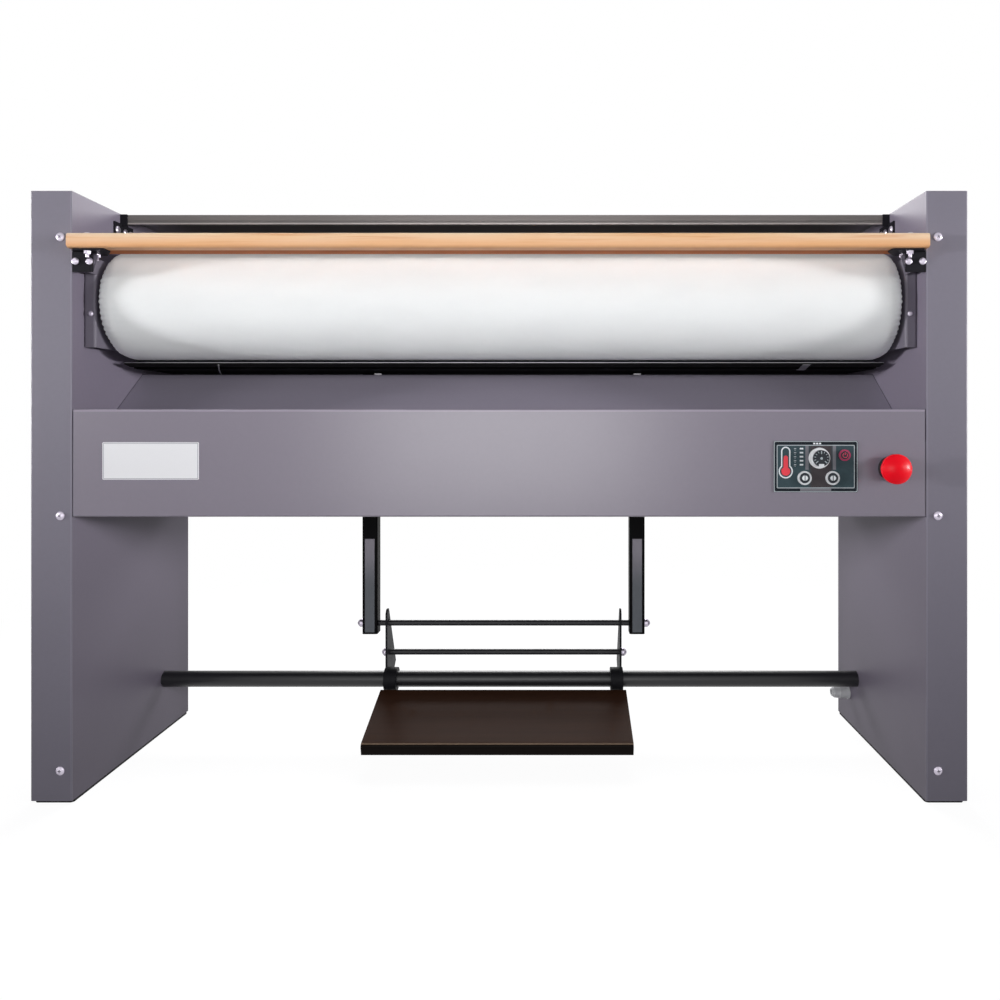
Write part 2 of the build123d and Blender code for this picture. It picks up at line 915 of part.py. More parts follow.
roller_axis = (0, front_y + roller_depth, roller_height)
roller_drum = turned(
    [(-drum_half, drum_radius), (drum_half, drum_radius)],
    roller_axis,
    (1, 0, 0),
    bore=drum_radius - drum_wall,
)
write(roller_drum, "roller_drum")

disc_outer = drum_radius - drum_wall - running_fit
disc_face = drum_half - disc_thick
end_disc = turned(
    [
        (disc_face - disc_hub_length, disc_hub_radius),
        (disc_face, disc_hub_radius),
        (disc_face, disc_outer),
        (drum_half, disc_outer),
    ],
    roller_axis,
    (1, 0, 0),
    bore=shaft_radius + running_fit,
)
write_pair(end_disc, "roller_end_discs")

shaft_left = -chain_x + sprocket_hub_length / 2 + 4.0
roller_shaft = turned(
    [(-shaft_left, shaft_radius), (inner_x - bearing_boss_gap, shaft_radius)], roller_axis, (1, 0, 0)
)
write(roller_shaft, "roller_shaft")

with BuildPart() as roller_padding:
    with BuildSketch(Plane(origin=roller_axis, x_dir=(1, 0, 0), z_dir=(0, 0, 1))) as padding_profile:
        with BuildLine():
            Polyline(
                (-drum_half - running_fit, drum_radius + running_fit),
                (-drum_half - running_fit, drum_radius - padding_hem),
                (-padding_half, drum_radius - padding_hem),
                (-padding_half, roller_radius),
                (padding_half, roller_radius),
                (padding_half, drum_radius - padding_hem),
                (drum_half + running_fit, drum_radius - padding_hem),
                (drum_half + running_fit, drum_radius + running_fit),
                close=True,
            )
        make_face()
        fillet(padding_profile.vertices().group_by(Axis.Y)[-1], padding_round)
    revolve(axis=Axis(roller_axis, (1, 0, 0)))
write(roller_padding, "roller_padding")

# Bearing brackets ---------------------------------------------------------------------

bracket_back = 2 * roller_depth - bracket_front
half_bracket = bracket_sheet / 2
with BuildPart() as bearing_bracket:
    with BuildSketch(Plane.XY.offset(bracket_bottom)):
        with BuildLine():
            foot_x = inner_x - half_bracket
            web_x = bracket_web_x + half_bracket
            front_line = front_y + bracket_front + half_bracket
            back_line = front_y + bracket_back - half_bracket
            FilletPolyline(
                (foot_x, front_line + bracket_foot),
                (foot_x, front_line),
                (web_x, front_line),
                (web_x, back_line),
                (foot_x, back_line),
                (foot_x, back_line - bracket_foot),
                radius=bracket_sheet,
            )
        trace(line_width=bracket_sheet)
    extrude(amount=bracket_top - bracket_bottom)
    with BuildSketch(facing_front(bracket_tab_front + bracket_sheet)):
        with BuildLine():
            Polyline(
                (bracket_tab_x + bracket_tab_slant, bracket_tab_bottom),
                (bracket_tab_x, bracket_top),
                (bracket_tab_end_x, bracket_top),
                (bracket_tab_end_x, bracket_tab_bottom),
                close=True,
            )
        make_face()
    extrude(amount=bracket_sheet)
    with BuildSketch(facing_front(bracket_front + bracket_sheet)):
        with Locations((bracket_web_x, bracket_tab_bottom)):
            Rectangle(bracket_sheet, bracket_tab_tall, align=(Align.MIN, Align.MIN))
    extrude(amount=bracket_front - bracket_tab_front)
    with BuildSketch(Plane.YZ.offset(bracket_web_x)):
        with Locations(at(roller_depth, roller_height)):
            Circle(shaft_radius + bearing_boss_gap)
            with Locations((0, bearing_spacing / 2), (0, -bearing_spacing / 2)):
                Circle(bolt_radius + running_fit)
    extrude(amount=bracket_sheet, mode=Mode.SUBTRACT)
    with BuildSketch(Plane.YZ.offset(inner_x)):
        with Locations(*[at(*place) for place in bracket_bolt_places()]):
            Circle(bolt_radius + running_fit)
    extrude(amount=-bracket_sheet, mode=Mode.SUBTRACT)
    with BuildSketch(facing_front(bracket_tab_front + bracket_sheet)):
        with Locations(*[(x, guard_screw_height) for x in guard_screw_places]):
            Circle(dome_shank_radius + running_fit)
    extrude(amount=bracket_sheet, mode=Mode.SUBTRACT)
    with BuildSketch(facing_front(bracket_front + bracket_sheet)):
        with Locations((stop_screw_x, stop_screw_height)):
            Circle(dome_shank_radius + running_fit)
    extrude(amount=bracket_sheet, mode=Mode.SUBTRACT)
write_pair(bearing_bracket, "bearing_brackets")

bearing_face = bracket_web_x + bracket_sheet
with BuildPart() as bearing:
    with BuildSketch(Plane.YZ.offset(bearing_face)):
        with Locations(at(roller_depth, roller_height)):
            SlotCenterToCenter(bearing_spacing, bearing_ear_width, rotation=90)
            Circle(bearing_flange_radius)
    extrude(amount=bearing_flange)
    with BuildSketch(Plane.YZ.offset(bearing_face)):
        with Locations(at(roller_depth, roller_height)):
            Circle(bearing_boss_radius)
    extrude(amount=inner_x - bearing_boss_gap - bearing_face)
    with BuildSketch(Plane.YZ.offset(bearing_face)):
        with Locations(at(roller_depth, roller_height)):
            Circle(shaft_radius + running_fit)
            with Locations((0, bearing_spacing / 2), (0, -bearing_spacing / 2)):
                Circle(bolt_radius + running_fit)
    extrude(amount=inner_x - bearing_face, mode=Mode.SUBTRACT)
write_pair(bearing, "bearings")

hex_bolts = []
bolt_head = (bolt_head_radius, bolt_head_height)
for z in (bearing_spacing / 2, -bearing_spacing / 2):
    origin = (bearing_face + bearing_flange, front_y + roller_depth, roller_height + z)
    hex_bolts.append(hex_bolt(origin, (1, 0, 0), bolt_radius, bearing_flange + bracket_sheet, *bolt_head))
for depth, height in bracket_bolt_places():
    origin = (inner_x + frame_wall, *at(depth, height))
    hex_bolts.append(hex_bolt(origin, (1, 0, 0), bolt_radius, frame_wall + bracket_sheet, *bolt_head))
hex_bolts.append(
    hex_bolt(
        (inner_x + frame_wall, *at(tube_depth, tube_height)),
        (1, 0, 0),
        bolt_radius,
        frame_wall + tube_plug,
        *bolt_head,
    )
)
write_pair(group(hex_bolts), "frame_bolts")

# Drive --------------------------------------------------------------------------------

motor_axis = (0, front_y + motor_depth, motor_height)
chain_plane = Plane.YZ.offset(chain_x - sprocket_width / 2)
straight_turn = math.asin((large_pitch_radius - small_pitch_radius) / chain_centres)
line_angle = math.atan2(roller_height - motor_height, roller_depth - motor_depth)


def chain_point(distance):
    """Depth and height of a chain roller, by its distance along the chain's pitch line."""
    round_large = large_pitch_radius * (math.pi + 2 * straight_turn)
    straight = chain_centres * math.cos(straight_turn)
    round_small = small_pitch_radius * (math.pi - 2 * straight_turn)
    first = line_angle - math.pi / 2 - straight_turn
    leave = line_angle + math.pi / 2 + straight_turn
    if distance < round_large:
        angle = first + distance / large_pitch_radius
        return around(roller_depth, roller_height, large_pitch_radius, angle)
    distance -= round_large
    if distance < straight:
        start = around(roller_depth, roller_height, large_pitch_radius, leave)
        end = around(motor_depth, motor_height, small_pitch_radius, leave)
        return between(start, end, distance / straight)
    distance -= straight
    if distance < round_small:
        angle = leave + distance / small_pitch_radius
        return around(motor_depth, motor_height, small_pitch_radius, angle)
    distance -= round_small
    start = around(motor_depth, motor_height, small_pitch_radius, first)
    end = around(roller_depth, roller_height, large_pitch_radius, first)
    return between(start, end, distance / straight)


def around(depth, height, radius, angle):
    return (depth + radius * math.cos(angle), height + radius * math.sin(angle))


def between(start, end, share):
    return tuple(a + (b - a) * share for a, b in zip(start, end))


def chain_loop(margin):
    """The area inside the chain's pitch line, grown by a margin."""
    with BuildSketch(mode=Mode.PRIVATE) as loop:
        with Locations(at(roller_depth, roller_height)):
            Circle(large_pitch_radius + margin)
        with Locations(at(motor_depth, motor_height)):
            Circle(small_pitch_radius + margin)
        make_hull()
    return loop.sketch


outer_loop = chain_loop(chain_plate_height / 2)
inner_loop = chain_loop(-chain_plate_height / 2)
plate_start = chain_x - chain_inner_width / 2 - chain_plate_sheet
with BuildPart() as drive_chain:
    for start_x in (plate_start, chain_x + chain_inner_width / 2):
        with BuildSketch(Plane.YZ.offset(start_x)):
            add(outer_loop)
            add(inner_loop, mode=Mode.SUBTRACT)
        extrude(amount=chain_plate_sheet)
    with BuildSketch(Plane.YZ.offset(chain_x - chain_inner_width / 2)):
        with Locations(*[at(*chain_point(link * chain_pitch)) for link in range(chain_links)]):
            RegularPolygon(chain_roller_radius, 8)
    extrude(amount=chain_inner_width)
write(drive_chain, "drive_chain")


def sprocket(depth, height, pitch_radius, teeth, first_gap, hub_radius, hub_length, bore):
    """A chain wheel whose tooth gaps match the chain's rollers."""
    with BuildPart() as wheel:
        with BuildSketch(chain_plane):
            with Locations(at(depth, height)):
                Circle(pitch_radius + tooth_rise)
                with PolarLocations(pitch_radius, teeth, start_angle=first_gap):
                    Circle(chain_roller_radius + tooth_clearance, mode=Mode.SUBTRACT)
                with PolarLocations(pitch_radius + tooth_mouth_rise, teeth, start_angle=first_gap):
                    Circle(tooth_mouth_radius, mode=Mode.SUBTRACT)
        extrude(amount=sprocket_width)
        with BuildSketch(Plane.YZ.offset(chain_x - hub_length / 2)):
            with Locations(at(depth, height)):
                Circle(hub_radius)
        extrude(amount=hub_length)
        with BuildSketch(Plane.YZ.offset(chain_x - hub_length / 2)):
            with Locations(at(depth, height)):
                Circle(bore)
        extrude(amount=hub_length, mode=Mode.SUBTRACT)
    return wheel


large_gap = math.degrees(line_angle - math.pi / 2 - straight_turn)
round_large_length = large_pitch_radius * (math.pi + 2 * straight_turn)
small_arc_start = round_large_length + chain_centres * math.cos(straight_turn)
first_link_on_small = math.ceil(small_arc_start / chain_pitch)
small_gap = math.degrees(
    line_angle
    + math.pi / 2
    + straight_turn
    + (first_link_on_small * chain_pitch - small_arc_start) / small_pitch_radius
)
roller_sprocket = sprocket(
    roller_depth,
    roller_height,
    large_pitch_radius,
    large_teeth,
    large_gap,
    sprocket_hub_radius,
    sprocket_hub_length,
    shaft_radius + running_fit,
)
write(roller_sprocket, "roller_sprocket")
motor_sprocket = sprocket(
    motor_depth,
    motor_height,
    small_pitch_radius,
    small_teeth,
    small_gap,
    small_hub_radius,
    sprocket_hub_length,
    motor_shaft_radius + running_fit,
)
write(motor_sprocket, "motor_sprocket")

gearbox_face = -box_end_x
shaft_nose = chain_x - sprocket_hub_length / 2 - 3.0
shaft_seat = 30.0
motor_shaft = turned(
    [(shaft_nose, motor_shaft_radius), (gearbox_face + shaft_seat, motor_shaft_radius)],
    motor_axis,
    (1, 0, 0),
)
write(motor_shaft, "motor_shaft")

motor_end = gearbox_face + gearbox_length + motor_length
motor_body = turned(
    [
        (gearbox_face, gearbox_radius),
        (gearbox_face + gearbox_length, gearbox_radius),
        (gearbox_face + gearbox_length, motor_radius),
        (motor_end - motor_bevel, motor_radius),
        (motor_end, motor_radius - motor_bevel),
    ],
    motor_axis,
    (1, 0, 0),
)
with BuildPart() as gearmotor:
    add(motor_body.part)
    with BuildSketch(Plane.YZ.offset(gearbox_face + gearbox_length)):
        with Locations(at(motor_depth, motor_height)):
            with PolarLocations(motor_radius, motor_ribs):
                Rectangle(2 * motor_rib_rise, motor_rib_width)
    extrude(amount=motor_rib_length)
    with BuildSketch(Plane.YZ.offset(gearbox_face)):
        with Locations(at(motor_depth, motor_height)):
            Circle(motor_shaft_radius + running_fit)
    extrude(amount=shaft_seat + slack, mode=Mode.SUBTRACT)
write(gearmotor, "gearmotor")

# Heated trough ------------------------------------------------------------------------


def on_trough(radius, angle):
    """A side-view point on a circle round the trough's centre; 0 degrees is straight down."""
    turn = math.radians(angle)
    return at(trough_depth + radius * math.sin(turn), trough_height - radius * math.cos(turn))


def trough_arc(radius, start, end):
    return ThreePointArc(
        on_trough(radius, start), on_trough(radius, (start + end) / 2), on_trough(radius, end)
    )


end_turn = math.radians(trough_end)
lead_direction = (math.cos(end_turn), math.sin(end_turn))
lead_lean = math.radians(lead_in_angle)
lead_y = lead_direction[0] * math.cos(lead_lean) + lead_direction[1] * math.sin(lead_lean)
lead_z = lead_direction[1] * math.cos(lead_lean) - lead_direction[0] * math.sin(lead_lean)
inner_end = on_trough(trough_radius, trough_end)
outer_end = on_trough(trough_outer, trough_end)
lead_inner = (inner_end[0] + lead_y * lead_in_length, inner_end[1] + lead_z * lead_in_length)
lead_outer = (outer_end[0] + lead_y * lead_in_back, outer_end[1] + lead_z * lead_in_back)
with BuildPart() as trough:
    with BuildSketch(Plane.YZ.offset(-trough_half_length)):
        with BuildLine():
            trough_arc(trough_radius, trough_start, trough_end)
            Polyline(inner_end, lead_inner, lead_outer, outer_end)
            trough_arc(trough_outer, trough_end, trough_start + lip_taper)
            Polyline(
                on_trough(trough_outer, trough_start + lip_taper),
                on_trough(trough_radius + lip_thick, trough_start),
                on_trough(trough_radius, trough_start),
            )
        make_face()
    extrude(amount=2 * trough_half_length)
write(trough, "trough")

plate_start_angle = 14.0
plate_end_angle = 106.0
housing_bottom = chest_bottom + chest_sheet
housing_back = chest_back - chest_sheet
seat_radius = trough_outer + running_fit
foot_point = on_trough(seat_radius, plate_start_angle)
crown_point = on_trough(seat_radius, plate_end_angle)


def housing_wrap(start, back):
    """The line round the housing's top, back and underside."""
    FilletPolyline(
        start,
        at(back, chest_top),
        at(back, housing_bottom),
        (foot_point[0] + chest_foot, housing_bottom),
        radius=chest_bend,
    )


def housing_outline(back):
    """The outline of the trough's housing, from the trough's outer face to a rear depth."""
    trough_arc(seat_radius, plate_start_angle, plate_end_angle)
    housing_wrap(crown_point, back)
    Line((foot_point[0] + chest_foot, housing_bottom), foot_point)


with BuildPart() as chest_end:
    with BuildSketch(Plane.YZ.offset(trough_half_length - chest_plate)):
        with BuildLine():
            housing_outline(housing_back)
        make_face()
    extrude(amount=chest_plate)
    with BuildSketch(Plane.YZ.offset(trough_half_length - chest_plate)):
        with Locations(at(pivot_depth, pivot_height)):
            Circle(pivot_boss_radius)
        with Locations(at(hanger_root_depth, hanger_root_height)):
            Circle(hanger_radius)
        make_hull()
    extrude(amount=chest_plate)
    with BuildSketch(Plane.YZ.offset(trough_half_length - pivot_boss_length)):
        with Locations(at(pivot_depth, pivot_height)):
            Circle(pivot_boss_radius)
    extrude(amount=pivot_boss_length)
    with BuildSketch(Plane.YZ.offset(trough_half_length - pivot_boss_length)):
        with Locations(at(pivot_depth, pivot_height)):
            Circle(pivot_shaft_radius + running_fit)
    extrude(amount=pivot_boss_length, mode=Mode.SUBTRACT)
write_pair(chest_end, "chest_end_plates")

plates_inside = trough_half_length - chest_plate
heater_circle = trough_outer + heater_radius + running_fit
with BuildPart() as insulation:
    with BuildSketch(Plane.YZ.offset(-plates_inside)):
        with BuildLine():
            housing_outline(housing_back)
        make_face()
        with Locations(at(housing_back, chest_bottom)):
            Rectangle(
                2 * chest_back_plate, 2 * (chest_top - chest_bottom), mode=Mode.SUBTRACT
            )
        with Locations(*[on_trough(heater_circle, angle) for angle in heater_angles]):
            Circle(heater_radius + slack, mode=Mode.SUBTRACT)
    extrude(amount=2 * plates_inside)
write(insulation, "insulation")

with BuildPart() as heating_elements:
    with BuildSketch(Plane.YZ.offset(-plates_inside + heater_end_gap)):
        with Locations(*[on_trough(heater_circle, angle) for angle in heater_angles]):
            Circle(heater_radius)
    extrude(amount=2 * (plates_inside - heater_end_gap))
write(heating_elements, "heating_elements")

arm_places = (pedal_offset - arm_spacing / 2, pedal_offset + arm_spacing / 2)
back_bar_tall = chest_top - housing_bottom - 3 * chest_bend
with BuildPart() as chest_back_bar:
    with BuildSketch(facing_front(housing_back)):
        with Locations((0, housing_bottom + chest_bend)):
            Rectangle(2 * plates_inside, back_bar_tall, align=(Align.CENTER, Align.MIN))
        with Locations(*[(x, z) for x in arm_places for z in arm_bolt_heights]):
            Circle(arm_bolt_radius + running_fit, mode=Mode.SUBTRACT)
    extrude(amount=chest_back_plate)
write(chest_back_bar, "chest_back_plate")

cover_start = (crown_point[0] + chest_sheet, crown_point[1] + chest_sheet / 2)
with BuildPart() as chest_cover:
    with BuildSketch(Plane.YZ.offset(-plates_inside)):
        with BuildLine():
            housing_wrap(cover_start, housing_back)
        trace(line_width=2 * chest_sheet)
        with BuildLine():
            Polyline(
                (foot_point[0] + 2 * chest_foot, housing_bottom),
                (foot_point[0] + 2 * chest_foot, chest_bottom),
                (foot_point[0] + chest_foot - chest_sheet, chest_bottom),
                (foot_point[0] - chest_sheet, foot_point[1] - chest_lip_gap),
                (foot_point[0], foot_point[1] - chest_lip_gap),
                close=True,
            )
        make_face()
    extrude(amount=2 * plates_inside)
    with BuildSketch(Plane.YZ.offset(-plates_inside)):
        with BuildLine():
            housing_outline(housing_back)
        make_face()
    extrude(amount=2 * plates_inside, mode=Mode.SUBTRACT)
    with BuildSketch(facing_front(chest_back)):
        with Locations(*[(x, z) for x in arm_places for z in arm_bolt_heights]):
            Circle(arm_bolt_radius + running_fit)
    extrude(amount=chest_sheet, mode=Mode.SUBTRACT)
write(chest_cover, "chest_cover")

strap_line = chest_bottom - strap_sheet / 2 - slack
strap_tip = on_trough(trough_radius + lip_thick + strap_sheet, trough_start + 1.0)
strap_knee = on_trough(trough_outer + strap_sheet + slack, trough_start + lip_taper)
strap_corner = foot_point[0] - 3.0
strap_end = (strap_corner + strap_foot, strap_line)
strap_route = [strap_tip, strap_knee, (strap_corner, strap_line), strap_end]
flat_strap = folded(
    strap_route, strap_bend, strap_sheet, strap_x - strap_width / 2, strap_x + strap_width / 2
)
stay_line = chest_bottom - stay_radius - slack
stay_tip = on_trough(trough_radius + lip_thick + stay_radius + slack, trough_start + 1.0)
stay_knee = on_trough(trough_outer + stay_radius + 2 * slack, trough_start + lip_taper)
stay_bends = [stay_tip, stay_knee, (strap_corner, stay_line), at(stay_back, stay_line)]
stay_route = [(stay_x - stay_spread * (y - stay_tip[0]), y, z) for y, z in stay_bends]
with BuildPart() as wire_stay:
    with BuildLine():
        stay_wire = FilletPolyline(*stay_route, radius=strap_bend)
    with BuildSketch(Plane(origin=stay_wire @ 0, z_dir=stay_wire % 0)):
        Circle(stay_radius)
    sweep()
write(group([flat_strap, wire_stay]), "trough_straps")

pivot_axis = (0, *at(pivot_depth, pivot_height))
pivot_end = inner_x + frame_wall + bush_flange + 6.0
pivot_shaft = turned(
    [(-pivot_end, pivot_shaft_radius), (pivot_end, pivot_shaft_radius)], pivot_axis, (1, 0, 0)
)
write(pivot_shaft, "pivot_shaft")
pivot_bush = turned(
    [
        (inner_x - bush_flange, bush_flange_radius),
        (inner_x, bush_flange_radius),
        (inner_x, bush_radius),
        (inner_x + frame_wall + bush_flange, bush_radius),
    ],
    pivot_axis,
    (1, 0, 0),
    bore=pivot_shaft_radius + running_fit,
)
write_pair(pivot_bush, "pivot_bushes")

# Arms and link rod --------------------------------------------------------------------

with BuildPart() as arms:
    with BuildSketch(Plane.XY.offset(arm_bottom)):
        with Locations(*[(x, front_y + chest_back + arm_size / 2) for x in arm_places]):
            RectangleRounded(arm_size, arm_size, arm_corner)
            RectangleRounded(
                arm_size - 2 * arm_wall, arm_size - 2 * arm_wall, arm_corner - arm_wall, mode=Mode.SUBTRACT
            )
    extrude(amount=arm_top - arm_bottom)
    with BuildSketch(facing_front(chest_back + arm_size)):
        with Locations(*[(x, z) for x in arm_places for z in arm_bolt_heights]):
            Circle(arm_bolt_radius + running_fit)
    extrude(amount=arm_size, mode=Mode.SUBTRACT)
    with BuildSketch(Plane.YZ):
        with Locations(at(pivot_depth, link_height)):
            Circle(link_radius + running_fit)
    extrude(amount=inner_x, both=True, mode=Mode.SUBTRACT)
write(arms, "arms")

arm_bolts = group(
    [
        hex_bolt(
            (x, front_y + chest_back + arm_size, z),
            (0, 1, 0),
            arm_bolt_radius,
            arm_size + chest_sheet + chest_back_plate,
            arm_bolt_radius * 1.9,
            bolt_head_height,
        )
        for x in arm_places
        for z in arm_bolt_heights
    ]
)
write(arm_bolts, "arm_bolts")

link_half = arm_spacing / 2 + arm_size / 2
link_centre = (pedal_offset, *at(pivot_depth, link_height))
link_rod = turned(
    [(-link_half - rod_thread, link_radius), (link_half + rod_thread, link_radius)], link_centre, (1, 0, 0)
)
write(link_rod, "link_rod")


def rod_nuts(half_length, centre, radius):
    """The two domed nuts at the ends of a rod."""
    left = cap_nut((centre[0] - half_length, centre[1], centre[2]), (-1, 0, 0), radius)
    right = cap_nut((centre[0] + half_length, centre[1], centre[2]), (1, 0, 0), radius)
    return group([left, right])


write(rod_nuts(link_half, link_centre, link_radius), "link_rod_nuts")

# Pedal --------------------------------------------------------------------------------

tube_axis = (0, *at(tube_depth, tube_height))
with BuildPart() as cross_tube:
    with BuildSketch(Plane.YZ.offset(-inner_x)):
        with Locations(at(tube_depth, tube_height)):
            Circle(tube_radius)
    extrude(amount=2 * inner_x)
    with BuildSketch(Plane.YZ.offset(-inner_x + tube_plug)):
        with Locations(at(tube_depth, tube_height)):
            Circle(tube_radius - tube_wall)
    extrude(amount=2 * (inner_x - tube_plug), mode=Mode.SUBTRACT)
    with BuildSketch(Plane.YZ.offset(-inner_x)):
        with Locations(at(tube_depth, tube_height)):
            Circle(bolt_radius + running_fit)
    extrude(amount=2 * inner_x, mode=Mode.SUBTRACT)
write(cross_tube, "cross_tube")

slope = math.radians(board_slope)
forward = (-math.cos(slope), -math.sin(slope))
downward = (math.sin(slope), -math.cos(slope))


def on_board(along, below):
    """A side-view point from the board's rear top edge: forward along it, and below it."""
    rear_y, rear_z = at(board_rear_depth, board_rear_height)
    return (
        rear_y + forward[0] * along + downward[0] * below,
        rear_z + forward[1] * along + downward[1] * below,
    )


board_corners = [
    on_board(0, 0),
    on_board(board_length, 0),
    on_board(board_length, board_thick),
    on_board(0, board_thick),
]
board_blank = side_plate(board_corners, pedal_offset - board_width / 2, board_width)
with BuildPart() as pedal_board:
    add(board_blank.part)
    fillet(pedal_board.edges().filter_by(Axis.X).group_by(Axis.Y)[0], board_round)
    fillet(pedal_board.edges().filter_by(Axis.X).group_by(Axis.Z)[-1], board_round / 4)
write(pedal_board, "pedal_board")


def from_tube(y, z):
    return at(tube_depth + y, tube_height + z)


def pedal_plate(x, inward):
    """A pedal side plate with its collar round the tube and its leg under the board."""
    with BuildPart() as plate:
        with BuildSketch(Plane.YZ.offset(x - pedal_plate_sheet / 2)):
            with BuildLine():
                Polyline(
                    from_tube(-pedal_plate_front, 0),
                    from_tube(-pedal_plate_front, pedal_plate_tip - pedal_plate_tip_chamfer),
                    from_tube(pedal_plate_tip_chamfer - pedal_plate_front, pedal_plate_tip),
                    from_tube(pedal_plate_tip_back, pedal_plate_tip),
                    from_tube(*pedal_plate_heel),
                    from_tube(*pedal_plate_toe),
                    close=True,
                )
            make_face()
            with BuildLine():
                Polyline(
                    from_tube(0, 0),
                    on_board(0, board_thick),
                    on_board(leg_length, board_thick),
                    on_board(leg_length, board_thick + leg_end_tall),
                    on_board(leg_heel, board_thick + leg_tall),
                    from_tube(*pedal_plate_root),
                    close=True,
                )
            make_face()
            with Locations(from_tube(0, 0)):
                Circle(collar_radius)
        extrude(amount=pedal_plate_sheet)
        with BuildSketch(Plane.YZ.offset(x - inward * collar_outset)):
            with Locations(from_tube(0, 0)):
                Circle(collar_radius)
        extrude(amount=inward * collar_width)
        with BuildSketch(Plane.YZ.offset(x)):
            with BuildLine():
                Polyline(
                    on_board(leg_flange_start, board_thick),
                    on_board(leg_length, board_thick),
                    on_board(leg_length, board_thick + pedal_plate_sheet),
                    on_board(leg_flange_start, board_thick + pedal_plate_sheet),
                    close=True,
                )
            make_face()
        extrude(amount=inward * leg_flange)
        with BuildSketch(Plane.YZ.offset(x - inward * collar_outset)):
            with Locations(from_tube(0, 0)):
                Circle(tube_radius + running_fit)
            with Locations(from_tube(tie_rod_back, tie_rod_height - tube_height)):
                Circle(tie_rod_radius + running_fit)
            with Locations(from_tube(0, link_height - tube_height + link_slot_travel / 3)):
                SlotCenterToCenter(link_slot_travel, 2 * (link_radius + link_slot_gap), rotation=90)
        extrude(amount=inward * collar_width, mode=Mode.SUBTRACT)
    return plate


plate_half = pedal_plate_spacing / 2
left_plate = pedal_plate(pedal_offset - plate_half, 1)
right_plate = pedal_plate(pedal_offset + plate_half, -1)
write(group([left_plate, right_plate]), "pedal_plates")

tie_half = plate_half + pedal_plate_sheet / 2
tie_centre = (pedal_offset, *from_tube(tie_rod_back, tie_rod_height - tube_height))
tie_rod = turned(
    [(-tie_half - rod_thread, tie_rod_radius), (tie_half + rod_thread, tie_rod_radius)],
    tie_centre,
    (1, 0, 0),
)
write(tie_rod, "tie_rod")
write(rod_nuts(tie_half, tie_centre, tie_rod_radius), "tie_rod_nuts")

# Guard board --------------------------------------------------------------------------

leg_back = bracket_tab_front - guard_leg_gap
leg_front = leg_back - shelf_sheet
with BuildPart() as guard_board:
    with BuildSketch(Plane.YZ.offset(-guard_half_length)):
        with Locations(at((guard_front + guard_back) / 2, (guard_bottom + guard_top) / 2)):
            RectangleRounded(guard_back - guard_front, guard_top - guard_bottom, guard_round)
    extrude(amount=2 * guard_half_length)
    with BuildSketch(Plane.XY.offset(guard_bottom)):
        for x, depth in guard_bolt_places:
            with Locations((x, front_y + depth), (-x, front_y + depth)):
                Circle(dome_shank_radius + running_fit)
    extrude(amount=guard_top - guard_bottom, mode=Mode.SUBTRACT)
write(guard_board, "guard_board")

with BuildPart() as guard_bracket:
    with BuildSketch(Plane.XY.offset(guard_bottom - shelf_sheet)):
        with BuildLine():
            Polyline(
                (shelf_inner_x, front_y + shelf_front),
                (shelf_outer_x - shelf_corner[0], front_y + shelf_front),
                (shelf_outer_x, front_y + shelf_front + shelf_corner[1]),
                (shelf_outer_x, front_y + shelf_back),
                (shelf_inner_x + shelf_inner_corner[0], front_y + shelf_back),
                (shelf_inner_x, front_y + shelf_back - shelf_inner_corner[1]),
                close=True,
            )
        make_face()
        with Locations(*[(x, front_y + depth) for x, depth in guard_bolt_places]):
            Circle(dome_shank_radius + running_fit, mode=Mode.SUBTRACT)
    extrude(amount=shelf_sheet)
    with BuildSketch(facing_front(leg_back)):
        with Locations((guard_leg_inner_x, guard_leg_bottom)):
            Rectangle(
                shelf_outer_x - guard_leg_inner_x,
                guard_bottom - shelf_sheet - guard_leg_bottom,
                align=(Align.MIN, Align.MIN),
            )
        with Locations(*[(x, guard_screw_height) for x in guard_screw_places]):
            Circle(dome_shank_radius + guard_screw_play, mode=Mode.SUBTRACT)
    extrude(amount=shelf_sheet)
write_pair(guard_bracket, "guard_brackets")

guard_bolts = []
for x, depth in guard_bolt_places:
    tail = guard_top - guard_bottom + shelf_sheet + guard_nut_height + guard_thread_tail
    origin = (x, front_y + depth, guard_top)
    steps = [
        (-tail, dome_shank_radius),
        (0, dome_shank_radius),
        (0, dome_head_radius),
        (1.2, dome_head_radius * 0.9),
        (2.8, dome_head_radius * 0.5),
    ]
    guard_bolts.append(turned(steps, origin, (0, 0, 1)))
    nut_top = guard_bottom - shelf_sheet
    with BuildPart() as nut:
        with BuildSketch(Plane.XY.offset(nut_top)):
            with Locations((x, front_y + depth)):
                RegularPolygon(6.0, 6)
                Circle(dome_shank_radius + running_fit, mode=Mode.SUBTRACT)
        extrude(amount=-guard_nut_height)
    guard_bolts.append(nut)
write_pair(group(guard_bolts), "guard_bolts")

guard_screws = []
for x in guard_screw_places:
    head_back = leg_front - guard_head_gap
    origin = (x, front_y + head_back, guard_screw_height)
    through = bracket_tab_front + bracket_sheet - head_back
    steps = [
        (-through, dome_shank_radius),
        (0, dome_shank_radius),
        (0, 6.0),
        (1.5, 5.8),
        (3.0, 3.5),
    ]
    guard_screws.append(turned(steps, origin, (0, -1, 0)))
    washer_origin = (x, front_y + bracket_tab_front, guard_screw_height)
    washer_steps = [(0, 5.5), (guard_washer, 5.5)]
    washer_bore = dome_shank_radius + running_fit
    guard_screws.append(turned(washer_steps, washer_origin, (0, -1, 0), bore=washer_bore))
stop_screw = turned(
    [
        (-bracket_sheet - 6.0, dome_shank_radius),
        (0, dome_shank_radius),
        (0, 4.5),
        (2.6, 4.5),
        (4.2, 2.5),
    ],
    (stop_screw_x, *at(bracket_front, stop_screw_height)),
    (0, -1, 0),
)
guard_screws.append(stop_screw)
write_pair(group(guard_screws), "guard_screws")

# Hood and rear panel ------------------------------------------------------------------

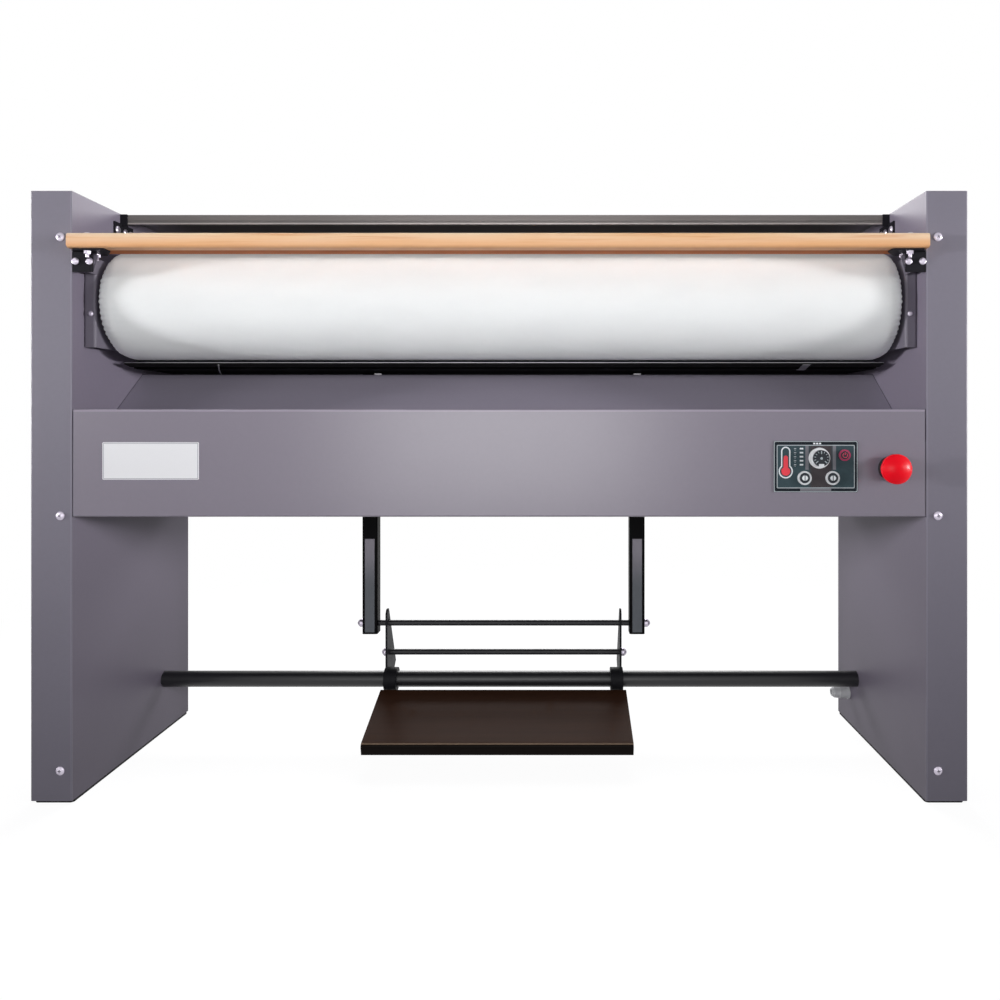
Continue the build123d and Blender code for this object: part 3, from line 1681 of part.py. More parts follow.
half_hood = hood_sheet / 2
lip_line = hood_front + half_hood
lip_bottom = hood_top - hood_drop + half_hood
groove_height = lip_bottom + hood_groove_rise
hood_blank = folded(
    [
        at(lip_line + hood_lip, lip_bottom),
        at(lip_line, lip_bottom),
        at(lip_line, groove_height),
        at(lip_line + hood_groove, groove_height + hood_groove_width / 2),
        at(lip_line, groove_height + hood_groove_width),
        at(lip_line, hood_top - half_hood),
        at(hood_back - half_hood, hood_top - half_hood),
        at(hood_back - half_hood, hood_top - hood_return),
    ],
    hood_bend,
    hood_sheet,
    -inner_x + slack,
    inner_x - slack,
)
rear_line = hood_back - 1.5 * hood_sheet
rear_screw_height = hood_top - rear_screw_drop
rear_screw_places = [-600.0, -300.0, 0.0, 300.0, 600.0]
rear_blank = folded(
    [
        at(rear_line - rear_return, rear_bottom),
        at(rear_line, rear_bottom),
        at(rear_line, hood_top - 2 * hood_sheet),
    ],
    panel_bend,
    hood_sheet,
    -inner_x + slack,
    inner_x - slack,
)
with BuildPart() as rear_panel:
    add(rear_blank.part)
    for row in slot_rows:
        with BuildSketch(facing_front(hood_back)):
            with Locations((0, row)):
                with GridLocations(slot_spacing, 0, slot_count, 1):
                    SlotOverall(slot_length, slot_width)
        extrude(amount=3 * hood_sheet, mode=Mode.SUBTRACT)
    with BuildSketch(facing_front(hood_back)):
        with Locations(*[(x, rear_screw_height) for x in rear_screw_places]):
            Circle(dome_shank_radius + running_fit)
    extrude(amount=3 * hood_sheet, mode=Mode.SUBTRACT)
with BuildPart() as hood:
    add(hood_blank.part)
    with BuildSketch(facing_front(hood_back)):
        with Locations(*[(x, rear_screw_height) for x in rear_screw_places]):
            Circle(dome_shank_radius + running_fit)
    extrude(amount=2 * hood_sheet, mode=Mode.SUBTRACT)
write(hood, "hood")
write(rear_panel, "rear_panel")

leg_start, leg_end = hood_bracket_leg
tongue_back = hood_front - slack
with BuildPart() as hood_bracket:
    with BuildSketch(Plane.YZ.offset(inner_x)):
        with BuildLine():
            Polyline(
                at(leg_start, hood_bracket_bottom),
                at(leg_end, hood_bracket_bottom),
                at(leg_end, hood_top - hood_drop - slack),
                at(leg_start, hood_top - hood_drop - slack),
                close=True,
            )
        make_face()
        with Locations(*[at(depth, hood_screw_height) for depth in hood_screw_places]):
            Circle(dome_shank_radius + running_fit, mode=Mode.SUBTRACT)
    extrude(amount=-bracket_sheet)
    with BuildSketch(facing_front(tongue_back)):
        with Locations((inner_x - hood_bracket_inset, hood_tongue_bottom)):
            Rectangle(hood_bracket_inset, hood_top - hood_tongue_bottom, align=(Align.MIN, Align.MIN))
    extrude(amount=bracket_sheet)
write_pair(hood_bracket, "hood_brackets")

# Dome screws --------------------------------------------------------------------------

side_screws = []
for z in cover_screw_heights:
    origin = (inner_x + cover_screw_inset, front_y, z)
    side_screws.append(dome_screw(origin, (0, -1, 0)))
for depth in hood_screw_places:
    origin = (inner_x - bracket_sheet, *at(depth, hood_screw_height))
    side_screws.append(dome_screw(origin, (-1, 0, 0)))
with BuildPart() as dome_screws:
    for screw in side_screws:
        add(screw.part)
        mirror(screw.part, about=Plane.YZ)
    for x in rear_screw_places:
        add(dome_screw((x, front_y + hood_back, rear_screw_height), (0, 1, 0)).part)
write(dome_screws, "dome_screws")

# Cable gland --------------------------------------------------------------------------

gland_axis = (inner_x, *at(gland_depth, gland_height))
cable_gland = turned(
    [
        (-frame_wall - 8.0, gland_thread_radius),
        (-frame_wall - 6.0, gland_thread_radius),
        (0, gland_thread_radius),
        (0, gland_radius),
        (3.0, gland_radius),
        (3.0, gland_radius * 0.92),
        (gland_reach * 0.55, gland_radius * 0.92),
        (gland_reach * 0.6, gland_radius * 0.86),
        (gland_reach * 0.85, gland_radius * 0.78),
        (gland_reach, gland_radius * 0.5),
    ],
    gland_axis,
    (-1, 0, 0),
    bore=gland_bore,
)
gland_nut = turned(
    [(frame_wall, gland_thread_radius * 1.5), (frame_wall + 4.0, gland_thread_radius * 1.5)],
    gland_axis,
    (1, 0, 0),
    bore=gland_thread_radius + running_fit,
)
write(group([cable_gland, gland_nut]), "cable_gland")
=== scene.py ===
"""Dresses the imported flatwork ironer: its paint, cloth, wood and controls, a bare name plate, and
the floor, light and camera round it.

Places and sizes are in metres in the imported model's frame: X to the right, Y to the back, Z up.
The marks on the controls, the name plate and the screws are drawn in millimetres, on X and Z.
"""

import math
import random

import bmesh
import bpy
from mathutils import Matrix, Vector


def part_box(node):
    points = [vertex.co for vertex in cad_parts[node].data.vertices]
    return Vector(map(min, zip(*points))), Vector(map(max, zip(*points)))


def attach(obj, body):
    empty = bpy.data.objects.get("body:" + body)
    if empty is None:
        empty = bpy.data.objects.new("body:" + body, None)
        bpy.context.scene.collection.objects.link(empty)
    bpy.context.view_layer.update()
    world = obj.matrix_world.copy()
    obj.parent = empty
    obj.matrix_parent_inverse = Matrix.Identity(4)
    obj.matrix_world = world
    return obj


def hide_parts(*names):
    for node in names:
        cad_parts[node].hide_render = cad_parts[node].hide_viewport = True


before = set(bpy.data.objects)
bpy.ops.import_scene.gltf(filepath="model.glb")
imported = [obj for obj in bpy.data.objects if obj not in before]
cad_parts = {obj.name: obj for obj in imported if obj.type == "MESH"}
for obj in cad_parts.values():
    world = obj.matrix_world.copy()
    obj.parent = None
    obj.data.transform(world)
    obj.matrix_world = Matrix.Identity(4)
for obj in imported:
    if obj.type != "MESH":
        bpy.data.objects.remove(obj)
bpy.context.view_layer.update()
draw = random.Random(7)

# Sizes in metres -------------------------------------------------------------------------

X, Y, Z = range(3)

# Roller: its axis, half the padded length, the radii and the pitch of the cloth's threads.
ROLLER_Y, ROLLER_Z = -0.0695, 0.8697
ROLLER_HALF = 0.706
ROLLER_R = 0.1000
DRUM_R = 0.0900
CLOTH_BORE_R = 0.0903
THREAD = 0.0011

# Trough: the axis and the radius of its polished face.
TROUGH_Y, TROUGH_Z = -0.0665, 0.8653
TROUGH_FACE_R = 0.1010

# Arms: how far they stand from their middle, and the painted lit strip down their fronts, which
# ends at the line of the box's painted shadow.
ARMS_MIDDLE_X = -0.0135
ARM_REACH = 0.2805
ARM_FRONT_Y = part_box("arms")[0][1]
STRIP_HALF = 0.0100
STRIP_FOOT_Z, BOX_SHADOW_Z = 0.2120, 0.4080

# Guard board: its underside, and where the painted shade on its underside starts.
GUARD_LOW_Z = 0.9480
UNDER_SHADE_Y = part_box("guard_board")[0][1] + 0.024

# Pedal board: PEDAL_TOP is the height of its sloping top, square to the slope.
PEDAL_SLOPE = math.radians(15.5)
PEDAL_LENGTH = 0.1757
PEDAL_THICK = 0.022
pedal_low, pedal_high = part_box("pedal_board")
pedal_front_y = pedal_high[Y] - PEDAL_LENGTH * math.cos(PEDAL_SLOPE)
PEDAL_TOP = (
    pedal_low[Z] * math.cos(PEDAL_SLOPE) - pedal_front_y * math.sin(PEDAL_SLOPE) + PEDAL_THICK
)

# Sheet metal: where the painted shade and soil near the floor fade out, the edges that carry a
# painted highlight, and where the painted black shade inside the rear panel ends.
SHADE_AND_SOIL_Z = (0.02, 0.52)
CABINET_EDGE_X = (0.7326, 0.7350)
PANEL_EDGE_Z = (0.6716, 0.6752)
HOOD_LIP_Z = (1.0293, 1.0330)
REAR_INNER_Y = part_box("rear_panel")[0][1] + 0.0006

# Sizes in millimetres --------------------------------------------------------------------

# Control plate: the middle of its print, the coloured field, the umber band between the teal.
PRINT_X, PRINT_Z = 542.2, 577.4
FIELD_WIDE, FIELD_TALL = 130.4, 71.4
UMBER_X = (532.0, 570.0)

# Thermometer: the bulb's middle, and the middles of the round ends of its stem and its column.
BULB_X, BULB_Z = 490.8, 569.4
STEM_END_Z, COLUMN_END_Z = 603.6, 592.6

# The scale beside the thermometer: its lines, its blocks, its top row and the step between rows.
SCALE_LINES_X, SCALE_BLOCKS_X = 506.8, 517.8
SCALE_TOP_Z, SCALE_STEP, SCALE_ROWS = 608.2, 6.9, 5

# The guide bars either side of the dial, and the row of three small blocks over it.
GUIDE_BARS_X, GUIDE_BARS_Z = (527.2, 574.0), 592.6
BLOCKS_X, BLOCKS_Z = (539.6, 544.6, 549.6), 616.9

# Dial, with the turns of its first tick and from tick to tick in degrees, buttons and red bezel.
DIAL_X, DIAL_Z = 548.0, 592.0
DIAL_GRIP_R = 13.9
DIAL_TICKS, FIRST_TICK, TICK_STEP = 11, -130, 26
LEFT_BUTTON_X, RIGHT_BUTTON_X = 522.5, 570.5
BUTTON_Z = 558.0
POWER_X, POWER_Z = 591.0, 597.0
RED_BEZEL_LOW_Z = 578.0

# Name plate on the front panel, and the dome screws up the cabinets' fronts.
PLATE_X, PLATE_Z = -597.0, 587.0
PLATE_WIDE, PLATE_TALL, PLATE_THICK = 165.0, 64.0, 1.0
SCREW_X = 752.0
SCREW_HEIGHTS = (56.0, 493.0, 971.0)

# How deep the marks are sunk into the buttons, the dial and the name plate.
SUNK = 0.1


def metres(*millimetres):
    """Lengths in metres."""
    return [length / 1000 for length in millimetres]


def srgb(red, green, blue):
    """A linear colour from its screen values, 0 to 255."""
    def linear(level):
        """One of the colour's parts."""
        level /= 255
        return level / 12.92 if level <= 0.04045 else ((level + 0.055) / 1.055) ** 2.4

    return (linear(red), linear(green), linear(blue), 1.0)


WHITE = (1.0, 1.0, 1.0, 1.0)
SHEET_GREY = srgb(112, 108, 119)


# Nodes -----------------------------------------------------------------------------------


class Value:
    """A socket of a node; arithmetic on it adds Math nodes."""

    def __init__(self, nodes, socket):
        self.nodes = nodes
        self.socket = socket

    def math(self, operation, *others):
        """A Math node on this value and the others."""
        return self.nodes.node("Math", {"operation": operation}, self, *others)

    def __add__(self, other):
        return self.math("ADD", other)

    def __sub__(self, other):
        return self.math("SUBTRACT", other)

    def __rsub__(self, other):
        return self.nodes.node("Math", {"operation": "SUBTRACT"}, other, self)

    def __mul__(self, other):
        return self.math("MULTIPLY", other)

    def __pow__(self, other):
        return self.math("POWER", other)

    __radd__ = __add__
    __rmul__ = __mul__

    def above(self, low, high):
        """0 under low, 1 over high and smooth between."""
        settings = {"interpolation_type": "SMOOTHSTEP"}
        return self.nodes.node("MapRange", settings, self, low, high, 0.0, 1.0)

    def within(self, low, high, soft):
        """1 between low and high, 0 outside."""
        return self.above(low - soft, low + soft) * (1 - self.above(high - soft, high + soft))


def distance(across, over):
    """How far a point is from an axis, from its two offsets."""
    return (across * across + over * over) ** 0.5


class Nodes:
    """The node tree of a material or of the world."""

    def __init__(self, owner, kind):
        owner.use_nodes = True
        self.tree = owner.node_tree
        self.tree.nodes.clear()
        self.output = self.tree.nodes.new("ShaderNodeOutput" + kind)
        self.places = {}

    def put(self, socket, value):
        """Links a value to a socket, or sets a constant on it."""
        if isinstance(value, Value):
            self.tree.links.new(value.socket, socket)
        else:
            socket.default_value = value

    def show(self, surface):
        """Makes this shader the one that is seen."""
        self.put(self.output.inputs["Surface"], surface)

    def node(self, kind, settings, *values, out=0, **named):
        """Adds a node: its settings first, then the values or links of its sockets."""
        node = self.tree.nodes.new("ShaderNode" + kind)
        for key, setting in settings.items():
            setattr(node, key, setting)
        sockets = [socket for socket in node.inputs if socket.enabled]
        for socket, value in zip(sockets, values):
            self.put(socket, value)
        for name, value in named.items():
            self.put(node.inputs[name.replace("_", " ")], value)
        return Value(self, node.outputs[out])

    def place(self, stretch=(1.0, 1.0, 1.0)):
        """The point on the object, in its own metres, stretched along the axes."""
        if stretch not in self.places:
            point = self.node("TexCoord", {}, out=3)
            if stretch != (1.0, 1.0, 1.0):
                point = self.node("VectorMath", {"operation": "MULTIPLY"}, point, stretch)
            self.places[stretch] = point
        return self.places[stretch]

    def axis(self, index):
        """The point's place along X, Y or Z."""
        return self.node("SeparateXYZ", {}, self.place(), out=index)

    def noise(self, scale, detail=2.0, stretch=(1.0, 1.0, 1.0), rough=0.5):
        """Noise from 0 to 1, round 0.5."""
        point = self.place(stretch)
        return self.node("TexNoise", {}, Vector=point, Scale=scale, Detail=detail, Roughness=rough)

    def mix(self, factor, first, second):
        """Colours mixed by a factor."""
        return self.node("Mix", {"data_type": "RGBA"}, factor, first, second, out=2)

    def shade(self, colour, amount):
        """A colour made darker or lighter by a value round 1."""
        grey = self.node("CombineXYZ", {}, amount, amount, amount)
        return self.node("VectorMath", {"operation": "MULTIPLY"}, colour[:3], grey)

    def seen(self):
        """1 where the eye, a reflection or clear plastic looks, 0 where light is passed on."""
        camera, glossy, clear = (self.node("LightPath", {}, out=index) for index in (0, 3, 6))
        return (camera + glossy + clear).math("MINIMUM", 1.0)


class Finish(Nodes):
    """A material. Constants are set on the shader's own sockets."""

    def __init__(self, name, **constants):
        self.material = bpy.data.materials.new(name)
        super().__init__(self.material, "Material")
        self.surface = self.node("BsdfPrincipled", {}, **constants)
        self.show(self.surface)

    def feed(self, socket, value):
        """Sets or links one of the shader's sockets."""
        self.put(self.surface.socket.node.inputs[socket], value)

    def bump(self, height, deep, strength=1.0):
        """Relief as deep as this where the height goes from 0 to 1."""
        normal = self.node("Bump", {}, Strength=strength, Distance=deep, Height=height)
        self.feed("Normal", normal)


# Finishes --------------------------------------------------------------------------------


def paint_skin(finish, roughness, grain=0.00006):
    """Paint's slightly uneven gloss and its fine orange peel."""
    finish.feed("Roughness", roughness + (finish.noise(24.0, 3.0) - 0.5) * 0.03)
    finish.bump(finish.noise(650.0, 2.0) + finish.noise(210.0, 1.0) * 0.6, grain)


def powder_coat(
    name, colour, roughness=0.42, gloss=0.28, cloud=0.05, grain=0.00006, shade_and_soil=0.0, edge_highlight=None
):
    """Sprayed and baked paint: faint clouds of tone, painted shade with some soil towards the
    floor, and a painted highlight along one edge, given as the axis across it, the two places
    either side and its strength."""
    finish = Finish(name, Specular_IOR_Level=gloss)
    tone = 1 + (finish.noise(4.0, 3.0) - 0.5) * cloud + (finish.noise(160.0, 2.0) - 0.5) * cloud
    if shade_and_soil:
        # Painted shade near the floor, with some soil: the paint is darker towards the floor.
        low = 1 - finish.axis(Z).above(*SHADE_AND_SOIL_Z)
        tone = tone * (1 - low * (shade_and_soil + (finish.noise(7.0, 4.0) - 0.5) * 0.12))
    if edge_highlight:
        axis, (start, end), gain = edge_highlight
        # Painted highlight: a paler band along the edge, where light catches it.
        painted_highlight = finish.axis(axis).math("ABSOLUTE").within(start, end, 0.0005)
        tone = tone + painted_highlight * (gain * 0.7 + finish.noise(18.0, 3.0) * gain * 0.6)
    finish.feed("Base Color", finish.shade(colour, tone))
    paint_skin(finish, roughness, grain)
    return finish


def rear_sheet():
    """The rear panel: paint outside, and near-black painted shade inside in place of its paint."""
    finish = Finish("rear_coat", Specular_IOR_Level=0.28)
    outside = finish.axis(Y).above(REAR_INNER_Y, REAR_INNER_Y + 0.0004)
    paint = finish.shade(SHEET_GREY, 0.97 + finish.noise(4.0, 3.0) * 0.06)
    # Painted shade: near-black inside the panel, where shade falls, instead of its paint.
    finish.feed("Base Color", finish.mix(outside, srgb(3, 3, 3), paint))
    paint_skin(finish, 0.46)
    return finish


def gloss_black(name, colour, roughness, gloss):
    """Black stove enamel with a soft skin and light dust."""
    finish = Finish(name, Specular_IOR_Level=gloss)
    dust = finish.noise(30.0, 4.0).above(0.52, 0.78)
    finish.feed("Base Color", finish.mix(dust * 0.12, colour, srgb(62, 62, 66)))
    finish.feed("Roughness", roughness + finish.noise(60.0, 3.0) * 0.14)
    finish.bump(finish.noise(420.0, 2.0), 0.00005)
    return finish


def arms_with_painted_light():
    """Black tubes with painted light: a grey strip down the front, from the knee to the link rod,
    paler towards its top, and near-black above it as the painted shadow of the box.
    """
    finish = Finish("arm_painted_light", Specular_IOR_Level=0.04)
    x, z = finish.axis(X), finish.axis(Z)
    off_arm = (x - ARMS_MIDDLE_X).math("ABSOLUTE") - ARM_REACH
    across = 1 - off_arm.math("ABSOLUTE").above(STRIP_HALF - 0.0008, STRIP_HALF + 0.0008)
    front = 1 - finish.axis(Y).above(ARM_FRONT_Y + 0.0016, ARM_FRONT_Y + 0.0022)
    under_top = 1 - z.above(BOX_SHADOW_Z, BOX_SHADOW_Z + 0.0016)
    lit_strip = across * front * under_top * z.above(STRIP_FOOT_Z, STRIP_FOOT_Z + 0.0020)
    soil = finish.noise(40.0, 4.0)
    # Painted light: the strip's grey, paler towards its top.
    grey = finish.mix(z.above(0.30, 0.41), srgb(118, 122, 128), srgb(168, 163, 174))
    # Painted shadow: near-black above the strip, where the box's shadow falls.
    black = finish.mix(soil, srgb(1, 1, 2), srgb(8, 8, 10))
    finish.feed("Base Color", finish.mix(lit_strip * (0.86 + soil * 0.14), black, grey))
    finish.feed("Roughness", 0.36 + soil * 0.16)
    finish.bump(finish.noise(420.0, 2.0), 0.00005)
    return finish


def bare_steel(name, colour, roughness, stretch=(1.0, 1.0, 1.0)):
    """Drawn or turned metal: fine lines along the stretch, and a few duller spots."""
    finish = Finish(name, Metallic=1.0)
    lines = finish.noise(900.0, 3.0, stretch)
    spots = finish.noise(35.0, 4.0)
    finish.feed("Base Color", finish.shade(colour, 0.88 + lines * 0.14 + spots * 0.1))
    finish.feed("Roughness", roughness + (spots - 0.5) * 0.2 + (lines - 0.5) * 0.1)
    finish.bump(lines, 0.00002)
    return finish


def bright_zinc():
    """Bright zinc plate with a faint bluish cast."""
    finish = Finish("bright_zinc", Metallic=0.85)
    bloom = finish.noise(240.0, 3.0)
    finish.feed("Base Color", finish.mix(bloom, srgb(178, 170, 186), srgb(208, 202, 214)))
    finish.feed("Roughness", 0.30 + bloom * 0.18)
    finish.bump(finish.noise(900.0, 1.0), 0.00002)
    return finish


def heated_trough():
    """The trough: polished inside where the cloth runs, black mill scale on the rest."""
    finish = Finish("heated_trough", Specular_IOR_Level=0.04)
    reach = distance(finish.axis(Y) - TROUGH_Y, finish.axis(Z) - TROUGH_Z)
    bright = 1 - reach.above(TROUGH_FACE_R, TROUGH_FACE_R + 0.0006)
    lines = finish.noise(900.0, 3.0, (0.02, 1.0, 1.0))
    scale = finish.noise(70.0, 4.0)
    steel = finish.shade(srgb(186, 186, 190), 0.86 + lines * 0.2)
    black = finish.mix(scale, srgb(10, 10, 11), srgb(24, 22, 22))
    finish.feed("Base Color", finish.mix(bright, black, steel))
    finish.feed("Metallic", bright)
    finish.feed("Roughness", 0.62 - bright * 0.38 + scale * 0.1)
    finish.bump(lines, 0.00002)
    return finish


def lacquered_board():
    """The guard board's pale wood, its grain along X, with painted shade: deeper orange low down on
    the front, and dark red-brown on the underside behind its front strip."""
    pale, deep, streak = srgb(246, 220, 192), srgb(234, 186, 138), srgb(208, 130, 78)
    shaded_lower, underside_shade = srgb(230, 156, 100), srgb(140, 66, 40)
    finish = Finish("board_wood", Specular_IOR_Level=0.2)
    sweep = finish.noise(1.0, 3.0, (1.1, 16.0, 22.0))
    grain = finish.noise(1.0, 5.0, (5.0, 170.0, 230.0), 0.6)
    pores = finish.noise(1.0, 2.0, (22.0, 900.0, 900.0)).above(0.58, 0.72)
    wood = finish.mix(sweep.above(0.36, 0.66), pale, deep)
    wood = finish.mix(grain.above(0.50, 0.74) * 0.55, wood, streak)
    wood = finish.mix(pores * 0.25, wood, streak)
    z = finish.axis(Z)
    # Painted shade: deeper orange towards the lower edge of the front.
    low = 1 - z.above(GUARD_LOW_Z + 0.0020, GUARD_LOW_Z + 0.0200)
    wood = finish.mix(low * 0.8, wood, finish.mix(grain, shaded_lower, deep))
    # Painted shade: dark red-brown on the underside behind its front strip.
    behind = finish.axis(Y).above(UNDER_SHADE_Y, UNDER_SHADE_Y + 0.002)
    under = (1 - z.above(GUARD_LOW_Z + 0.0002, GUARD_LOW_Z + 0.0006)) * behind
    finish.feed("Base Color", finish.mix(under, wood, finish.mix(grain, underside_shade, streak)))
    finish.feed("Roughness", 0.4 + grain * 0.12 + under * 0.4)
    finish.bump(grain * 0.6 + pores, 0.00005)
    return finish


def dark_stained_board():
    """The pedal's brown coated plywood: faint grain, scuffs from shoes, a painted highlight along
    the top edges, and near-black edges."""
    finish = Finish("dark_stained_board", Specular_IOR_Level=0.05)
    grain = finish.noise(1.0, 4.0, (6.0, 90.0, 90.0), 0.6)
    scuffs = finish.noise(1.0, 4.0, (40.0, 14.0, 14.0)).above(0.56, 0.80)
    brown = finish.mix(grain, srgb(52, 32, 22), srgb(70, 44, 31))
    brown = finish.mix(scuffs * 0.25, brown, srgb(84, 62, 47))
    rise = finish.axis(Z) * math.cos(PEDAL_SLOPE) - finish.axis(Y) * math.sin(PEDAL_SLOPE)
    under = PEDAL_TOP - rise
    # Painted highlight: a paler line just under the top face, along its edges.
    painted_highlight = under.within(0.0002, 0.0014, 0.0002)
    brown = finish.mix(painted_highlight * 0.8, brown, srgb(150, 130, 112))
    finish.feed("Base Color", finish.mix(under.above(0.0014, 0.0020), brown, srgb(12, 7, 5)))
    finish.feed("Roughness", 0.42 + scuffs * 0.2 + grain * 0.08)
    finish.bump(grain + finish.noise(700.0, 1.0) * 0.4, 0.00006)
    return finish


def ironing_cloth():
    """White cotton: a plain weave round the roller, clouds of tone and soft creases along it."""
    finish = Finish(
        "ironing_cloth", Specular_IOR_Level=0.15, Sheen_Weight=0.25, Sheen_Roughness=0.5
    )
    threads_round = round(math.tau * ROLLER_R / THREAD)
    turn = (finish.axis(Y) - ROLLER_Y).math("ARCTAN2", finish.axis(Z) - ROLLER_Z)
    warp = (finish.axis(X) * (math.tau / THREAD)).math("SINE")
    weave = warp * (turn * threads_round).math("SINE")
    clouds = finish.noise(9.0, 3.0, (1.0, 2.2, 2.2))
    tone = 0.955 + clouds * 0.09 - weave * 0.008
    finish.feed("Base Color", finish.shade(srgb(247, 249, 250), tone))
    finish.feed("Roughness", 0.86 + clouds * 0.08)
    finish.bump(weave * 0.12 + finish.noise(26.0, 3.0, (0.5, 2.0, 2.0)), 0.0009, 0.55)
    return finish


def mineral_wool():
    """The trough's insulation: matted yellowish fibre."""
    finish = Finish("mineral_wool", Specular_IOR_Level=0.1, Sheen_Weight=0.3)
    tufts = finish.noise(90.0, 5.0, (0.4, 1.0, 1.0), 0.7)
    finish.feed("Base Color", finish.mix(tufts, srgb(142, 128, 84), srgb(206, 196, 150)))
    finish.feed("Roughness", 0.9 + tufts * 0.08)
    finish.bump(tufts, 0.002)
    return finish


def moulded(name, colour, roughness, coat=0.0, grain=0.00003, dark=0.9):
    """Moulded plastic or rubber: a fine grain and slight flow marks."""
    finish = Finish(name, Specular_IOR_Level=0.2, Coat_Weight=coat, Coat_Roughness=0.08)
    flow = finish.noise(70.0, 3.0)
    finish.feed("Base Color", finish.shade(colour, dark + flow * (1 - dark) * 2))
    finish.feed("Roughness", roughness + (flow - 0.5) * 0.1)
    finish.bump(finish.noise(1500.0, 2.0), grain)
    return finish


def bezel_plastic():
    """White bezels; the one round the power button is red."""
    finish = Finish("bezel_plastic", Specular_IOR_Level=0.25)
    red = finish.axis(Z).above(*metres(RED_BEZEL_LOW_Z, RED_BEZEL_LOW_Z + 0.5))
    soil = finish.noise(300.0, 3.0)
    white = finish.mix(soil * 0.2, srgb(226, 228, 232), srgb(170, 172, 178))
    finish.feed("Base Color", finish.mix(red, white, srgb(176, 62, 98)))
    finish.feed("Roughness", 0.3 + soil * 0.1)
    finish.bump(soil, 0.00003)
    return finish


def knob_plastic():
    """The dial: a white skirt and a dark grip, told apart by the distance from its axis."""
    finish = Finish("knob_plastic", Specular_IOR_Level=0.2)
    middle_x, middle_z = metres(DIAL_X, DIAL_Z)
    reach = distance(finish.axis(X) - middle_x, finish.axis(Z) - middle_z)
    skirt = reach.above(*metres(DIAL_GRIP_R, DIAL_GRIP_R + 0.3))
    soil = finish.noise(260.0, 3.0)
    dark = finish.mix(soil, srgb(34, 38, 44), srgb(48, 52, 58))
    white = finish.mix(soil * 0.25, srgb(232, 233, 236), srgb(188, 190, 194))
    finish.feed("Base Color", finish.mix(skirt, dark, white))
    finish.feed("Roughness", 0.32 + soil * 0.12)
    finish.bump(soil, 0.00004)
    return finish


def control_film():
    """The control plate's printed film: a dark teal field with an umber band down its middle, in
    a near-black border."""
    finish = Finish("control_film", Specular_IOR_Level=0.1)
    soil = finish.noise(120.0, 3.0)
    x, z = finish.axis(X), finish.axis(Z)
    left, right = metres(PRINT_X - FIELD_WIDE / 2, PRINT_X + FIELD_WIDE / 2)
    foot, top = metres(PRINT_Z - FIELD_TALL / 2, PRINT_Z + FIELD_TALL / 2)
    field = x.within(left, right, 0.0004) * z.within(foot, top, 0.0004)
    teal = finish.mix(soil, srgb(54, 70, 76), srgb(66, 82, 88))
    umber = finish.mix(soil, srgb(62, 57, 61), srgb(76, 71, 74))
    colours = finish.mix(x.within(*metres(*UMBER_X), 0.004), teal, umber)
    finish.feed("Base Color", finish.mix(field, srgb(26, 32, 38), colours))
    finish.feed("Roughness", 0.3 + soil * 0.12)
    finish.bump(soil, 0.00002)
    return finish


def ink(name, colour, roughness=0.45, fade=0.06):
    """Screen-printed ink, slightly uneven."""
    finish = Finish(name, Specular_IOR_Level=0.4)
    spread = finish.noise(500.0, 3.0)
    finish.feed("Base Color", finish.shade(colour, 1 - fade + spread * fade * 2))
    finish.feed("Roughness", roughness + spread * 0.1)
    finish.bump(spread, 0.00002)
    return finish


# Dress of the CAD's nodes ----------------------------------------------------------------

ALONG_X, ROUND_X, ALONG_STRAP = (0.05, 1.0, 1.0), (1.0, 0.06, 0.06), (1.0, 0.05, 0.05)


def dress(finish, *nodes):
    """Gives the CAD's nodes a finish."""
    for node in nodes:
        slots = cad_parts[node].data.materials
        if not slots:
            slots.append(finish.material)
        for index in range(len(slots)):
            slots[index] = finish.material


# Cabinets: painted shade with some soil near the floor, and a painted highlight on the inner front
# edges.
dress(
    powder_coat("cabinet_coat", srgb(124, 120, 133), shade_and_soil=0.10, edge_highlight=(X, CABINET_EDGE_X, 0.16)),
    "left_side_cover", "right_side_cover",
)
# Side frames: strong painted shade, with some soil, towards the floor.
dress(
    powder_coat("frame_coat", srgb(124, 117, 132), 0.44, 0.18, shade_and_soil=0.34),
    "left_side_frame", "right_side_frame",
)
dress(powder_coat("bracket_coat", srgb(110, 105, 117), 0.46), "bearing_brackets")
# Front panel: a painted highlight along its top bend.
dress(
    powder_coat("panel_coat", srgb(124, 117, 131), 0.30, 0.7, edge_highlight=(Z, PANEL_EDGE_Z, 0.5)),
    "front_panel",
)
# Painted light: the chute's paint is paler than the sheets round it, standing in for light that
# reaches it.
dress(powder_coat("chute_coat", srgb(150, 144, 160), 0.42, 0.4), "linen_chute")
dress(powder_coat("box_coat", SHEET_GREY, 0.46), "box_ends", "box_tray")
# Hood: a painted highlight along its lower lip.
dress(powder_coat("hood_coat", srgb(118, 113, 112), 0.34, 0.4, edge_highlight=(Z, HOOD_LIP_Z, 2.0)), "hood")
dress(gloss_black("black_enamel", srgb(32, 31, 36), 0.36, 0.05), "hood_brackets", "guard_brackets")
dress(gloss_black("tube_enamel", srgb(34, 34, 37), 0.28, 0.42), "cross_tube")
dress(gloss_black("plate_enamel", srgb(30, 30, 33), 0.4, 0.06), "pedal_plates")
dress(gloss_black("rod_enamel", srgb(34, 34, 38), 0.36, 0.3), "link_rod", "tie_rod")
dress(
    gloss_black("chest_enamel", srgb(3, 3, 4), 0.6, 0.02),
    "chest_cover", "chest_end_plates", "chest_back_plate",
)
dress(arms_with_painted_light(), "arms")
dress(rear_sheet(), "rear_panel")
dress(powder_coat("motor_coat", srgb(88, 94, 104), 0.45), "gearmotor")
dress(powder_coat("cast_coat", srgb(84, 86, 90), 0.5, cloud=0.12, grain=0.0003), "bearings")
dress(powder_coat("electrics_coat", srgb(186, 186, 188), 0.45), "electrics_box")
dress(heated_trough(), "trough")
